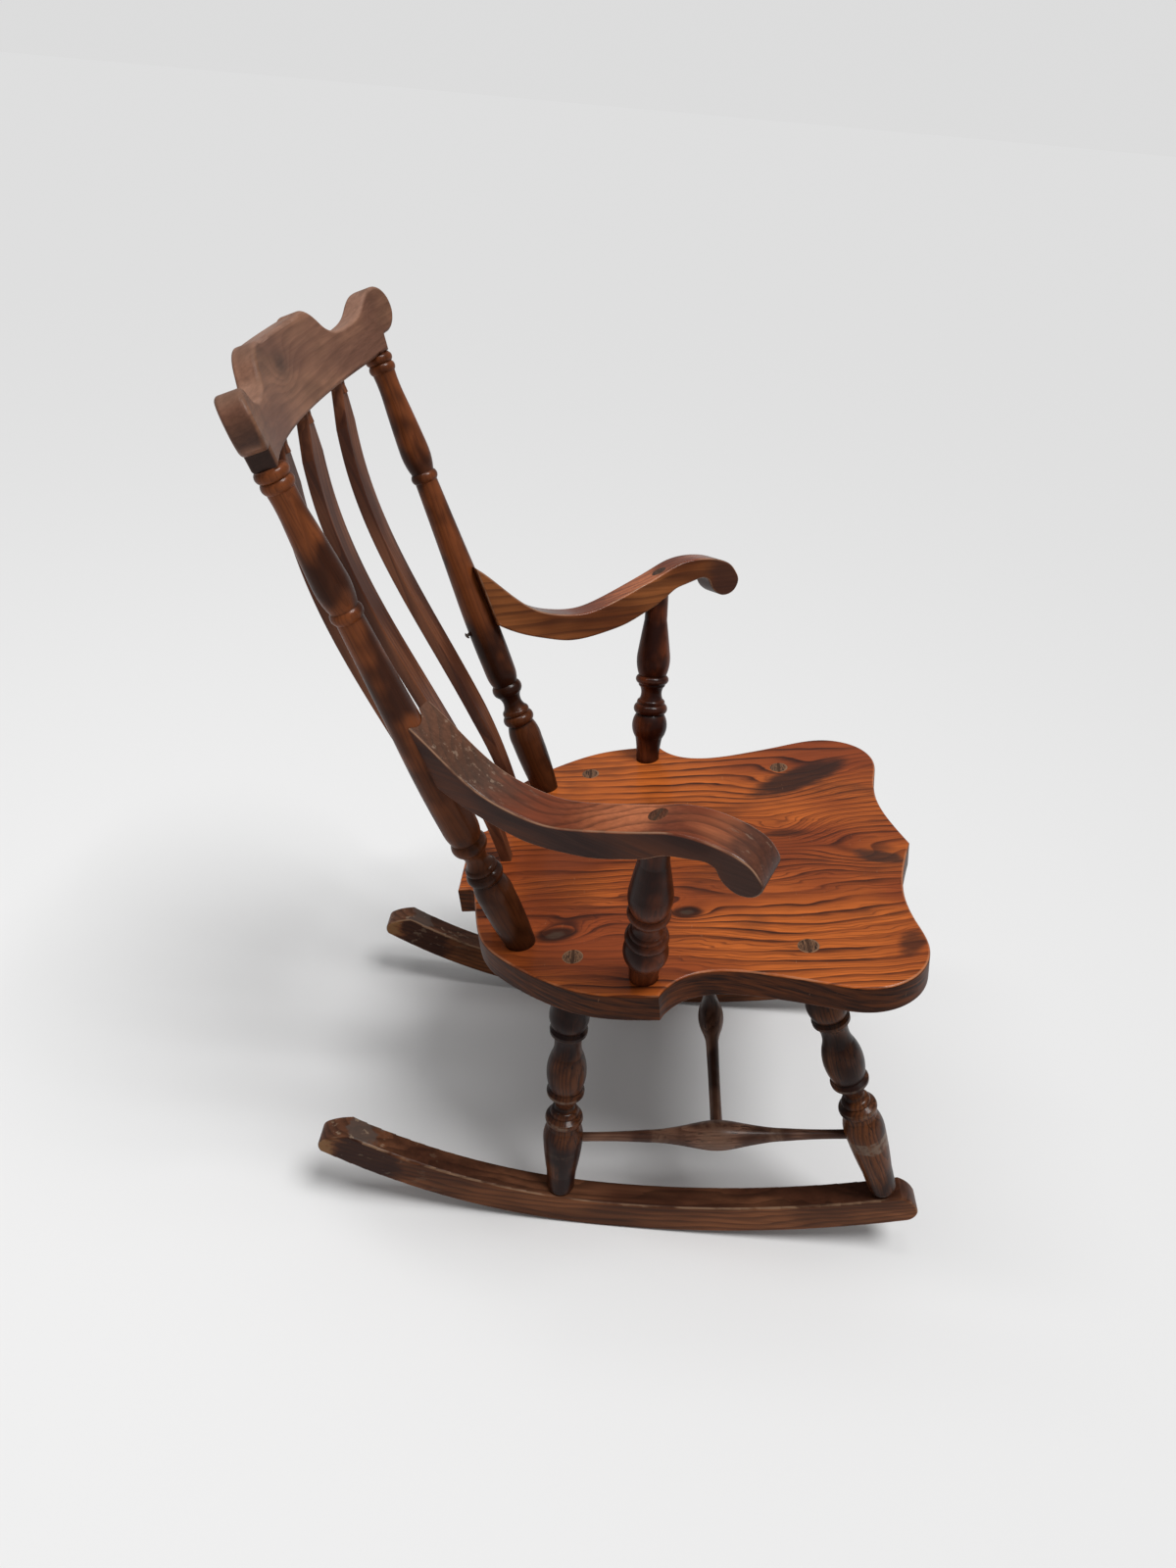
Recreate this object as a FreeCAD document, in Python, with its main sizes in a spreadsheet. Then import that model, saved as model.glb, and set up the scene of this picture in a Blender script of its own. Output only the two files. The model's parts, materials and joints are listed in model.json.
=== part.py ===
import FreeCAD, Part
import math
import os

Vector = FreeCAD.Vector
UP = Vector(0, 0, 1)
FULL_TURN = 360
HALF_CORNER = 45

# A turned rocking chair: plank seat on four raked legs, two rockers, an H stretcher,
# two scrolled arms on turned posts, and a back of two turned posts, three bowed
# arrow spindles and a bent crest rail. X runs across, the front faces -Y, Z is up, and
# the origin is on the floor midway between the two points where the rockers touch it.
# Sizes that end in back or forward are measured from a line across the chair that lies
# rocker_rest_back in front of that origin. Lengths are millimetres and angles degrees.

SEAT = {
    "seat_height": 435.7,
    "seat_tilt": 9.28,
    "seat_thickness": 36.0,
    "seat_half_width": 262.0,
    "seat_front_reach": 285.3,
    "seat_rear_reach": 246.8,
    "tongue_half_width": 62.5,
    "tongue_length": 20.2,
    "tongue_root_radius": 6.0,
    "seat_edge_radius": 3.0,
}

LEG = {
    "leg_radius": 24.0,
    "leg_turning_length": 223.0,
    "leg_tenon_radius": 11.6,
    "front_leg_seat_half_span": 188.0,
    "front_leg_seat_forward": 141.0,
    "front_leg_foot_forward": 296.0,
    "rear_leg_seat_half_span": 194.0,
    "rear_leg_seat_back": 115.6,
    "rear_leg_foot_back": 105.0,
    "foot_tenon_radius": 9.5,
    "foot_tenon_depth": 26.0,
}

ROCKER = {
    "rocker_half_span": 210.4,
    "rocker_thickness": 33.3,
    "rocker_depth": 45.0,
    "rocker_rest_back": 49.3,
    "rocker_front_radius": 1150.0,
    "rocker_rear_radius": 740.0,
    "rocker_front_reach": 341.0,
    "rocker_nose_length": 26.0,
    "rocker_rear_reach": 409.0,
    "rocker_tail_length": 38.0,
    "rocker_edge_radius": 3.0,
}

STRETCHER = {
    "side_stretcher_rear_height": 136.0,
    "side_stretcher_front_height": 190.0,
    "side_stretcher_radius": 18.3,
    "cross_stretcher_radius": 17.3,
    "cross_tenon_depth": 10.5,
    "stretcher_tenon_depth": 14.0,
}

BACK_POST = {
    "back_post_half_span": 165.0,
    "back_post_back": 176.0,
    "back_post_rake": 23.26,
    "back_post_splay": 5.73,
    "back_post_length": 592.0,
    "back_post_radius": 21.0,
    "back_post_foot_radius": 12.0,
    "back_post_socket_depth": 29.0,
    "back_post_tenon_radius": 9.0,
    "back_post_tenon_length": 34.0,
}

CREST = {
    "crest_height": 82.2,
    "crest_half_width": 268.5,
    "crest_thickness": 25.0,
    "crest_bow_radius": 765.0,
    "crest_face_setback": 11.0,
    "crest_edge_radius": 4.0,
}

SPINDLE = {
    "spindle_half_width": 19.2,
    "spindle_neck_half_width": 7.8,
    "spindle_neck_length": 6.0,
    "spindle_thickness": 13.5,
    "spindle_half_span": 115.0,
    "spindle_foot_back": 211.5,
    "spindle_advance": 3.0,
    "spindle_head_depth": 10.8,
    "spindle_bow": 23.8,
    "spindle_upper_taper": 44.0,
    "spindle_lower_taper": 150.0,
    "spindle_tenon_radius": 6.2,
    "spindle_tenon_length": 20.0,
    "spindle_edge_radius": 1.5,
}

ARM = {
    "arm_height": 686.5,
    "arm_half_span": 296.0,
    "arm_back": 49.0,
    "arm_flare": 25.7,
    "arm_lean": 13.2,
    "arm_width": 42.0,
    "arm_rear_reach": 262.0,
    "arm_front_reach": 115.0,
    "arm_drop": 82.0,
    "arm_edge_radius": 2.5,
}

ARM_POST = {
    "arm_post_half_span": 229.5,
    "arm_post_back": 37.5,
    "arm_post_radius": 24.0,
    "arm_post_foot_radius": 11.0,
    "arm_post_socket_depth": 29.0,
    "arm_post_tenon_radius": 9.0,
}

FIXINGS = {
    "glue_gap": 0.1,
    "overrun": 12.0,
    "wedge_thickness": 3.2,
    "wedge_tip_thickness": 1.2,
    "wedge_depth": 20.0,
    "screw_height": 248.0,
    "screw_rise": 31.0,
    "screw_length": 52.0,
    "screw_radius": 2.1,
    "screw_head_radius": 4.4,
    "screw_head_height": 2.6,
}

# Outlines. Each run is joined to the next: two points make a straight line, three an
# arc through the middle one, and more a smooth curve.

# Half of the seat from the middle of its front edge: across as a share of the half
# width, along as a share of the front reach (negative) or of the rear reach.
SEAT_OUTLINE_SHARES = [
    [(0.0, -1.0), (0.19, -0.947), (0.38, -0.917), (0.56, -0.93), (0.75, -0.953),
     (0.9, -0.893), (0.987, -0.735), (0.942, -0.52), (0.885, -0.33), (0.856, -0.17),
     (0.883, -0.03), (0.93, 0.035), (1.0, 0.087)],
    [(1.0, 0.087), (0.994, 0.237), (0.959, 0.43), (0.88, 0.6), (0.76, 0.775),
     (0.63, 0.9), (0.46, 0.96), (0.2385, 1.0)],
]

# Turned profiles: height as a share of the turned length, radius as a share of the
# largest radius.
BACK_POST_PROFILE_SHARES = [
    [(0.0, 0.8), (0.076, 0.967), (0.127, 1.0)],
    [(0.127, 1.0), (0.154, 0.962), (0.172, 0.8)],
    [(0.172, 0.8), (0.184, 0.99), (0.196, 0.81)],
    [(0.196, 0.81), (0.203, 0.86), (0.209, 0.74)],
    [(0.209, 0.74), (0.226, 0.586), (0.245, 0.752)],
    [(0.245, 0.752), (0.258, 0.952), (0.272, 0.8)],
    [(0.272, 0.8), (0.285, 0.905), (0.303, 0.952)],
    [(0.303, 0.952), (0.4, 0.972), (0.49, 0.905)],
    [(0.49, 0.905), (0.6, 0.781), (0.741, 0.657)],
    [(0.741, 0.657), (0.751, 0.79), (0.761, 0.667)],
    [(0.761, 0.667), (0.78, 0.795), (0.811, 0.843)],
    [(0.811, 0.843), (0.861, 0.76), (0.921, 0.633)],
    [(0.921, 0.633), (0.945, 0.615), (0.965, 0.64)],
    [(0.965, 0.64), (0.974, 0.755), (0.983, 0.65)],
    [(0.983, 0.65), (0.992, 0.78), (1.0, 0.667)],
]

ARM_POST_PROFILE_SHARES = [
    [(0.0, 0.66), (0.083, 0.71), (0.128, 0.78)],
    [(0.128, 0.78), (0.215, 1.01), (0.274, 0.8)],
    [(0.274, 0.8), (0.31, 0.97), (0.333, 0.8)],
    [(0.333, 0.8), (0.348, 0.8), (0.36, 0.68)],
    [(0.36, 0.68), (0.395, 0.595), (0.432, 0.68)],
    [(0.432, 0.68), (0.441, 0.76), (0.452, 0.76)],
    [(0.452, 0.76), (0.477, 0.95), (0.5, 0.79)],
    [(0.5, 0.79), (0.555, 0.935), (0.62, 0.945)],
    [(0.62, 0.945), (0.72, 0.8), (0.82, 0.645)],
    [(0.82, 0.645), (1.0, 0.625)],
]

LEG_TURNING_SHARES = [
    [(0.0, 0.646), (0.09, 0.81), (0.188, 0.965)],
    [(0.188, 0.965), (0.245, 0.955), (0.288, 0.8)],
    [(0.288, 0.8), (0.305, 0.93)],
    [(0.305, 0.93), (0.325, 0.92)],
    [(0.325, 0.92), (0.345, 0.75)],
    [(0.345, 0.75), (0.4, 0.665), (0.47, 0.75)],
    [(0.47, 0.75), (0.59, 0.995), (0.718, 0.8)],
    [(0.718, 0.8), (0.738, 0.955)],
    [(0.738, 0.955), (0.754, 0.94)],
    [(0.754, 0.94), (0.81, 0.6), (0.84, 0.48)],
    [(0.84, 0.48), (0.856, 0.47), (0.868, 0.53)],
    [(0.868, 0.53), (0.892, 0.72), (0.908, 0.7)],
    [(0.908, 0.7), (0.925, 0.92)],
    [(0.925, 0.92), (0.948, 0.96), (0.969, 0.83)],
    [(0.969, 0.83), (1.0, 0.85)],
]

# The barrel below the beads: height as a share of what is left of the leg.
LEG_BARREL_SHARES = [
    [(0.0, 0.85), (0.07, 0.97), (0.2, 1.025)],
    [(0.2, 1.025), (0.45, 0.93), (0.7, 0.78)],
    [(0.7, 0.78), (0.93, 0.71)],
    [(0.93, 0.71), (0.98, 0.65), (1.0, 0.55)],
]

SIDE_STRETCHER_SHARES = [
    [(0.0, 0.31), (0.13, 0.325), (0.25, 0.42)],
    [(0.25, 0.42), (0.35, 0.57), (0.42, 0.78), (0.515, 1.0), (0.61, 0.78), (0.68, 0.57),
     (0.77, 0.42)],
    [(0.77, 0.42), (0.88, 0.325), (1.0, 0.31)],
]
STRETCHER_BULB_SHARE = 0.515

CROSS_STRETCHER_SHARES = [
    [(0.0, 0.43), (0.19, 0.435), (0.36, 0.485)],
    [(0.36, 0.485), (0.42, 0.69), (0.455, 0.89), (0.5, 1.0), (0.545, 0.89), (0.58, 0.69),
     (0.64, 0.485)],
    [(0.64, 0.485), (0.81, 0.435), (1.0, 0.43)],
]

# A spindle's bow to the rear of the line from foot to head: height as a share of that
# line, offset as a share of the bow.
SPINDLE_BOW_SHARES = [(-0.02, 0.03), (0.1, -0.17), (0.2, -0.155), (0.32, 0.08),
                      (0.46, 0.48), (0.6, 0.855), (0.74, 1.0), (0.86, 0.76), (0.95, 0.32),
                      (1.02, -0.05)]
SPINDLE_PLACES = (("right_spindle", -1), ("middle_spindle", 0), ("left_spindle", 1))

# Half of the crest rail from the middle of its top edge to the middle of its underside:
# across as a share of the half width, up as a share of the height.
CREST_OUTLINE_SHARES = [
    [(0.0, 1.0), (0.24, 1.0)],
    [(0.24, 1.0), (0.34, 0.97), (0.39, 0.86), (0.44, 0.7), (0.54, 0.58), (0.64, 0.575),
     (0.76, 0.65), (0.83, 0.78), (0.9, 0.835)],
    [(0.9, 0.835), (0.97, 0.76), (1.0, 0.52)],
    [(1.0, 0.52), (0.985, 0.36), (0.94, 0.24), (0.9, 0.215)],
    [(0.9, 0.215), (0.875, 0.21)],
    [(0.875, 0.21), (0.86, 0.0)],
    [(0.86, 0.0), (0.0, 0.0)],
]

# The arm's side: along as a share of the rear reach (negative) or of the front reach,
# up as a share of the drop, both from the middle of the post's tenon on the top.
ARM_OUTLINE_SHARES = [
    [(-1.0, 0.3), (-0.885, 0.012), (-0.785, -0.256), (-0.69, -0.44), (-0.57, -0.54),
     (-0.42, -0.55), (-0.32, -0.463), (-0.15, -0.244), (0.0, -0.03), (0.15, 0.067),
     (0.28, 0.122), (0.53, 0.15), (0.79, 0.085), (0.895, 0.006), (0.965, -0.116),
     (1.0, -0.232), (0.98, -0.354), (0.93, -0.44), (0.85, -0.488), (0.78, -0.488),
     (0.72, -0.45), (0.66, -0.378), (0.622, -0.29), (0.59, -0.205), (0.54, -0.172),
     (0.426, -0.195), (0.28, -0.256), (0.174, -0.305), (0.026, -0.45), (-0.1, -0.646),
     (-0.21, -0.805), (-0.32, -0.9), (-0.427, -0.963), (-0.534, -0.976),
     (-0.637, -0.915), (-0.74, -0.83), (-0.9, -0.61)],
    [(-0.9, -0.61), (-1.0, 0.3)],
]

# The runners' ends from top corner to bottom corner: outwards as a share of the end's
# length, up as a share of the height between the corners.
ROCKER_NOSE_SHARES = [(0.0, 1.0), (0.45, 0.87), (0.8, 0.66), (1.0, 0.4), (0.9, 0.15),
                      (0.6, 0.0)]
ROCKER_TAIL_SHARES = [(0.0, 1.0), (0.4, 0.89), (0.75, 0.71), (0.95, 0.52), (1.0, 0.36),
                      (0.93, 0.0)]

# How much of the arm's width lies inside the middle of its post.
ARM_INNER_SHARE = 0.38

# The hollow in the arm's rear end: height as a share of the back post's length and
# radius as a share of its largest radius, at the hollow's foot and head.
ARM_COPE_SHARES = [(0.39, 0.985), (0.56, 0.865)]

# How far below the top of the arm its post's profile ends, as a share of the drop.
ARM_POST_STOP_SHARE = 0.3

SCREW_DOME_SHARE = 0.7

# What counts as level when edges are chosen by their direction.
LEVEL_SHARE = 0.5


def fill_sheet(doc):
    """The driving dimensions, one cell each, with the name as alias."""
    sheet = doc.addObject("Spreadsheet::Sheet", "Sizes")
    row = 1
    for group in (SEAT, LEG, ROCKER, STRETCHER, BACK_POST, CREST, SPINDLE, ARM,
                  ARM_POST, FIXINGS):
        for name, value in group.items():
            sheet.set("A%d" % row, name)
            sheet.set("B%d" % row, str(value))
            sheet.setAlias("B%d" % row, name)
            row += 1
    doc.recompute()
    return sheet


DOC = FreeCAD.newDocument("rocking_chair")
SHEET = fill_sheet(DOC)
NODES = {}


def size(name):
    return float(SHEET.get(name))


def slope(name):
    return math.tan(math.radians(size(name)))


# Frames and places


def frame_along(start, end):
    """A frame at start with its Z towards end."""
    return FreeCAD.Placement(start, FreeCAD.Rotation(UP, end - start))


def point_along(frame, distance):
    return frame.multVec(Vector(0, 0, distance))


def on_seat(across, back):
    """The point of the seat's top above a place on the floor."""
    return Vector(across, back, size("seat_height") - back * slope("seat_tilt"))


def seat_frame():
    tilt = FreeCAD.Rotation(Vector(1, 0, 0), -size("seat_tilt"))
    return FreeCAD.Placement(Vector(0, 0, size("seat_height")), tilt)


def runner_height(above, back):
    """The height of a runner's underside, or of the line that far above it. It is bent
    harder behind the place where it rests on the floor than in front of it."""
    away = back - size("rocker_rest_back")
    radius = size("rocker_rear_radius") if away > 0 else size("rocker_front_radius")
    return radius - math.sqrt((radius - above) ** 2 - away ** 2)


def back_post_frame(side):
    foot = on_seat(side * size("back_post_half_span"), size("back_post_back"))
    lean = Vector(side * slope("back_post_splay"), slope("back_post_rake"), 1)
    return frame_along(foot, foot + lean)


def crest_frame():
    """X across, Z up the raked back and Y to the rear, at the foot of the crest."""
    top = point_along(back_post_frame(1), size("back_post_length"))
    rake = FreeCAD.Rotation(Vector(1, 0, 0), -size("back_post_rake"))
    return FreeCAD.Placement(Vector(0, top.y, top.z), rake)


def leg_ends(end, side):
    """The middle of the leg's tenon on the seat, and of its foot on the rocker."""
    if end == "front":
        across = side * size("front_leg_seat_half_span")
        seat_back = -size("front_leg_seat_forward")
        foot_back = -size("front_leg_foot_forward")
    else:
        across = side * size("rear_leg_seat_half_span")
        seat_back = size("rear_leg_seat_back")
        foot_back = size("rear_leg_foot_back")
    foot = Vector(side * size("rocker_half_span"), foot_back,
                  runner_height(size("rocker_depth"), foot_back))
    return on_seat(across, seat_back), foot


def leg_point_at(end, side, height):
    top, foot = leg_ends(end, side)
    return top + (foot - top) * ((top.z - height) / (top.z - foot.z))


def side_stretcher_ends(side):
    rear = leg_point_at("rear", side, size("side_stretcher_rear_height"))
    front = leg_point_at("front", side, size("side_stretcher_front_height"))
    return rear, front


def arm_anchor(side):
    """The middle of the arm post's tenon on top of the arm."""
    return Vector(side * size("arm_half_span"), size("arm_back"), size("arm_height"))


def arm_axes(side):
    """Forward along the arm, outward across it and up through it."""
    flare = math.radians(size("arm_flare"))
    lean = math.radians(size("arm_lean"))
    forward = Vector(side * math.sin(flare), -math.cos(flare), 0)
    level = Vector(side * math.cos(flare), math.sin(flare), 0)
    outward = level * math.cos(lean) - UP * math.sin(lean)
    upward = level * math.sin(lean) + UP * math.cos(lean)
    return forward, outward, upward


def arm_post_frame(side):
    foot = on_seat(side * size("arm_post_half_span"), size("arm_post_back"))
    return frame_along(foot, arm_anchor(side))


# Making pieces


def new_body(name, placement=None):
    body = DOC.addObject("PartDesign::Body", name)
    body.Placement = placement or FreeCAD.Placement()
    return body


def origin_plane(body, role):
    return [item for item in body.Origin.OriginFeatures if item.Role == role][0]


def new_sketch(body, role, name):
    sketch = body.newObject("Sketcher::SketchObject", name)
    sketch.AttachmentSupport = [(origin_plane(body, role), "")]
    sketch.MapMode = "FlatFace"
    return sketch


def curve_through(points):
    if len(points) == 2:
        return Part.LineSegment(*points)
    if len(points) == 3:
        return Part.Arc(*points)
    curve = Part.BSplineCurve()
    curve.interpolate(points)
    return curve


def draw_runs(sketch, runs):
    """Draws a closed chain of runs, each starting where the last one ends."""
    for run in runs:
        sketch.addGeometry(curve_through([Vector(x, y, 0) for x, y in run]))


def closed_chain(corners):
    """Straight runs from corner to corner and back to the first."""
    return [[start, end] for start, end in zip(corners, corners[1:] + corners[:1])]


def pad(body, sketch, name, length, midplane=False):
    """Pads a sketch by a length bound to the sheet."""
    feature = body.newObject("PartDesign::Pad", name)
    feature.Profile = sketch
    feature.setExpression("Length", length)
    feature.Midplane = midplane
    DOC.recompute()
    return feature


def revolved(body, sketch, name):
    feature = body.newObject("PartDesign::Revolution", name + "_turning")
    feature.Profile = sketch
    feature.ReferenceAxis = (sketch, ["V_Axis"])
    feature.Angle = FULL_TURN
    DOC.recompute()
    return body


def edges_by_way(piece, direction, along):
    """The numbers of a piece's edges that run along a direction, or of those that don't."""
    numbers = []
    for index, edge in enumerate(piece.Shape.Edges):
        way = edge.tangentAt((edge.FirstParameter + edge.LastParameter) / 2)
        if (abs(way.dot(direction)) > LEVEL_SHARE) == along:
            numbers.append(index + 1)
    return numbers


def eased(body, name, radius):
    """Rounds the outline's edges on both faces of a sawn board."""
    board = body.Tip
    normal = board.Profile[0].Placement.Rotation.multVec(UP)
    numbers = edges_by_way(board, normal, False)
    fillet = body.newObject("PartDesign::Fillet", name)
    fillet.Base = (board, ["Edge%d" % number for number in numbers])
    fillet.setExpression("Radius", "Sizes." + radius)
    DOC.recompute()
    return body


def rounded(name, piece, edges, radius):
    """The same with chosen edges of a piece that isn't a body."""
    fillet = DOC.addObject("Part::Fillet", name)
    fillet.Base = piece
    fillet.Edges = [(index, size(radius), size(radius)) for index in edges]
    DOC.recompute()
    return fillet


def scaled_runs(shares, length, radius, start=0):
    """A turned profile's runs as (radius, height) points."""
    runs = []
    for run in shares:
        runs.append([(reach * radius, start + rise * length) for rise, reach in run])
    return runs


def turned_body(name, placement, runs):
    """A solid of revolution about Z from the outer runs of its profile."""
    body = new_body(name, placement)
    sketch = new_sketch(body, "XZ_Plane", name + "_profile")
    start, end = runs[0][0], runs[-1][-1]
    cap = [[(0, end[1]), (0, start[1])], [(0, start[1]), start]]
    draw_runs(sketch, runs + [[end, (0, end[1])]] + cap)
    return revolved(body, sketch, name)


def peg(name, placement, radius, length):
    """A cylinder whose radius and height are expressions of the sheet."""
    cylinder = DOC.addObject("Part::Cylinder", name)
    cylinder.setExpression("Radius", radius)
    cylinder.setExpression("Height", length)
    cylinder.Placement = placement
    return cylinder


def taper(name, placement, low_radius, high_radius, length):
    cone = DOC.addObject("Part::Cone", name)
    cone.setExpression("Radius1", low_radius)
    cone.setExpression("Radius2", high_radius)
    cone.setExpression("Height", length)
    cone.Placement = placement
    return cone


def cut(name, base, tools):
    result = DOC.addObject("Part::Cut", name)
    result.Base = base
    if len(tools) == 1:
        result.Tool = tools[0]
    else:
        group = DOC.addObject("Part::Compound", name + "_sockets")
        group.Links = tools
        result.Tool = group
    DOC.recompute()
    return result


def fuse(name, pieces):
    result = DOC.addObject("Part::MultiFuse", name)
    result.Shapes = pieces
    DOC.recompute()
    return result


def common(name, base, tool):
    result = DOC.addObject("Part::Common", name)
    result.Base = base
    result.Tool = tool
    DOC.recompute()
    return result


def shifted(frame, distance):
    """The same frame moved along its own Z."""
    return frame.multiply(FreeCAD.Placement(Vector(0, 0, distance), FreeCAD.Rotation()))


def keep(name, piece):
    """Names a finished piece and stands it so that the rockers rest at the origin."""
    stand = FreeCAD.Placement(Vector(0, -size("rocker_rest_back"), 0), FreeCAD.Rotation())
    piece.Placement = stand.multiply(piece.Placement)
    piece.Label = name
    NODES[name] = piece
    return piece


def side_name(side):
    return "left" if side > 0 else "right"


SIDES = (-1, 1)
SCREWED_SIDES = (1,)


# Seat


def seat_point(across_share, along_share):
    reach = size("seat_front_reach") if along_share < 0 else size("seat_rear_reach")
    return (across_share * size("seat_half_width"), along_share * reach)


def seat_blank():
    """The plank: lobed front, waisted sides with a corner behind the waist, and a
    tongue at the middle of the rear edge."""
    thickness = size("seat_thickness")
    body = new_body("seat_blank", shifted(seat_frame(), -thickness))
    sketch = new_sketch(body, "XY_Plane", "seat_outline")
    half = [[seat_point(*share) for share in run] for run in SEAT_OUTLINE_SHARES]
    half += tongue_runs(half[-1][-1][1])
    half[-3][-1] = half[-2][0]
    tip = half[-1][-1]
    other = [[(-x, y) for x, y in reversed(run)] for run in reversed(half)]
    draw_runs(sketch, half + [[tip, (-tip[0], tip[1])]] + other)
    pad(body, sketch, "seat_pad", "Sizes.seat_thickness")
    return eased(body, "seat_edges", "seat_edge_radius")


def tongue_runs(rear):
    """The hollow corner beside the tongue, and the tongue's side."""
    edge, radius = size("tongue_half_width"), size("tongue_root_radius")
    inset = radius - radius * math.sin(math.radians(HALF_CORNER))
    hollow = [(edge + radius, rear), (edge + inset, rear + inset), (edge, rear + radius)]
    return [hollow, [hollow[-1], (edge, rear + size("tongue_length"))]]


def seat_trimmer():
    """What lies under the seat's top."""
    box = DOC.addObject("Part::Box", "under_seat")
    box.setExpression("Length", "2 * Sizes.seat_half_width")
    box.setExpression("Width", "2 * Sizes.seat_front_reach + 2 * Sizes.seat_rear_reach")
    box.setExpression("Height", "Sizes.seat_thickness + Sizes.overrun")
    corner = Vector(-size("seat_half_width"), -size("seat_front_reach"),
                    -size("seat_thickness") - size("overrun"))
    box.Placement = seat_frame().multiply(FreeCAD.Placement(corner, FreeCAD.Rotation()))
    return box


# Sticks that stand in the seat


def back_post_shaft(side):
    """The turned post, long enough to be trimmed against the crest's underside."""
    name = side_name(side) + "_back_post"
    runs = scaled_runs(BACK_POST_PROFILE_SHARES, size("back_post_length"),
                       size("back_post_radius"))
    foot = (size("back_post_foot_radius"), -size("back_post_socket_depth"))
    head = runs[-1][-1]
    top = (head[0], head[1] + size("overrun"))
    runs = [[foot, runs[0][0]]] + runs + [[head, top]]
    return turned_body(name + "_turned", back_post_frame(side), runs)


def back_post_tenon_frame(side):
    """Starts an overrun below the crest and runs up into it."""
    return shifted(back_post_frame(side), size("back_post_length") - size("overrun"))


def post_foot_share(group):
    """A seat post's radius where it passes the seat's top, of its largest radius."""
    if group == "back_post":
        return BACK_POST_PROFILE_SHARES[0][0][1]
    return ARM_POST_PROFILE_SHARES[0][0][1]


def tapered_socket(name, frame, group):
    """The tapered hole for a post's foot, a glue line wider all round, run out above
    the seat."""
    depth = size(group + "_socket_depth")
    foot, collar = size(group + "_foot_radius"), size(group + "_radius")
    collar_share = post_foot_share(group)
    growth = (collar_share * collar - foot) / depth
    high = "Sizes.%s_radius * %g + Sizes.overrun * %g + Sizes.glue_gap" % (
        group, collar_share, growth)
    return taper(name, shifted(frame, -depth - size("glue_gap")),
                 "Sizes.%s_foot_radius + Sizes.glue_gap" % group, high,
                 "Sizes.%s_socket_depth + Sizes.overrun + Sizes.glue_gap" % group)


def arm_post_shaft(side):
    """The turned post, long enough to be trimmed against the underside of the arm."""
    name = side_name(side) + "_arm_post"
    frame = arm_post_frame(side)
    reach = (arm_anchor(side) - frame.Base).Length
    length = reach - size("arm_drop") * ARM_POST_STOP_SHARE
    runs = scaled_runs(ARM_POST_PROFILE_SHARES, length, size("arm_post_radius"))
    foot = (size("arm_post_foot_radius"), -size("arm_post_socket_depth"))
    return turned_body(name + "_turned", frame, [[foot, runs[0][0]]] + runs)


# Legs


def leg_shaft(end, side):
    """The turned leg, from inside the seat down to inside the rocker's top."""
    top, foot = leg_ends(end, side)
    frame = frame_along(top, foot)
    start = size("seat_thickness")
    turning = size("leg_turning_length")
    radius = size("leg_radius")
    runs = scaled_runs(LEG_TURNING_SHARES, turning, radius, start)
    rest = (foot - top).Length - start - turning
    barrel = scaled_runs(LEG_BARREL_SHARES, rest, radius, start + turning)
    ankle = barrel[-1][-1]
    hip = (runs[0][0][0], runs[0][0][1] - size("overrun"))
    sole = (ankle[0], ankle[1] + size("overrun"))
    runs = [[hip, runs[0][0]]] + runs + barrel + [[ankle, sole]]
    return turned_body("%s_%s_leg_turned" % (side_name(side), end), frame, runs)


# Rockers


def runner_run(above, start, end):
    """An arc along a runner, by its two ends and its middle."""
    return [(back, runner_height(above, back)) for back in (start, (start + end) / 2, end)]


def end_points(high, low, reach, shares):
    """Points round a runner's end, from its top corner to its bottom one."""
    return [(high[0] + reach * out, low[1] + (high[1] - low[1]) * up)
            for out, up in shares]


def runner_end(reach, length, shares):
    """The rounded end of a runner, its top corner a length short of its reach."""
    top, low = reach - length, reach - length + length * shares[-1][0]
    depth = size("rocker_depth")
    return end_points((top, runner_height(depth, top)), (low, runner_height(0, low)),
                      length, shares)


def rocker_blank(side):
    """A curved runner of even depth, with a rounded nose and a tail cut down."""
    depth, rest = size("rocker_depth"), size("rocker_rest_back")
    tail = runner_end(size("rocker_rear_reach"), size("rocker_tail_length"),
                      ROCKER_TAIL_SHARES)
    nose = runner_end(-size("rocker_front_reach"), -size("rocker_nose_length"),
                      ROCKER_NOSE_SHARES)
    runs = [runner_run(0, nose[-1][0], rest), runner_run(0, rest, tail[-1][0]), tail[::-1],
            runner_run(depth, tail[0][0], rest), runner_run(depth, rest, nose[0][0]), nose]
    across = side * size("rocker_half_span") - size("rocker_thickness") / 2
    name = side_name(side) + "_rocker"
    body = new_body(name + "_blank",
                    FreeCAD.Placement(Vector(across, 0, 0), FreeCAD.Rotation()))
    sketch = new_sketch(body, "YZ_Plane", name + "_outline")
    draw_runs(sketch, runs)
    pad(body, sketch, name + "_pad", "Sizes.rocker_thickness")
    return eased(body, name + "_edges", "rocker_edge_radius")


# Crest rail


def crest_span_at_post():
    return point_along(back_post_frame(1), size("back_post_length")).x


def crest_centre():
    """The centre of the crest's bow, in front of the posts."""
    across = crest_span_at_post()
    return -size("crest_face_setback") - math.sqrt(size("crest_bow_radius") ** 2 - across ** 2)


def crest_face(across):
    """How far the crest's front face is behind the line through the posts."""
    return crest_centre() + math.sqrt(size("crest_bow_radius") ** 2 - across ** 2)


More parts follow.
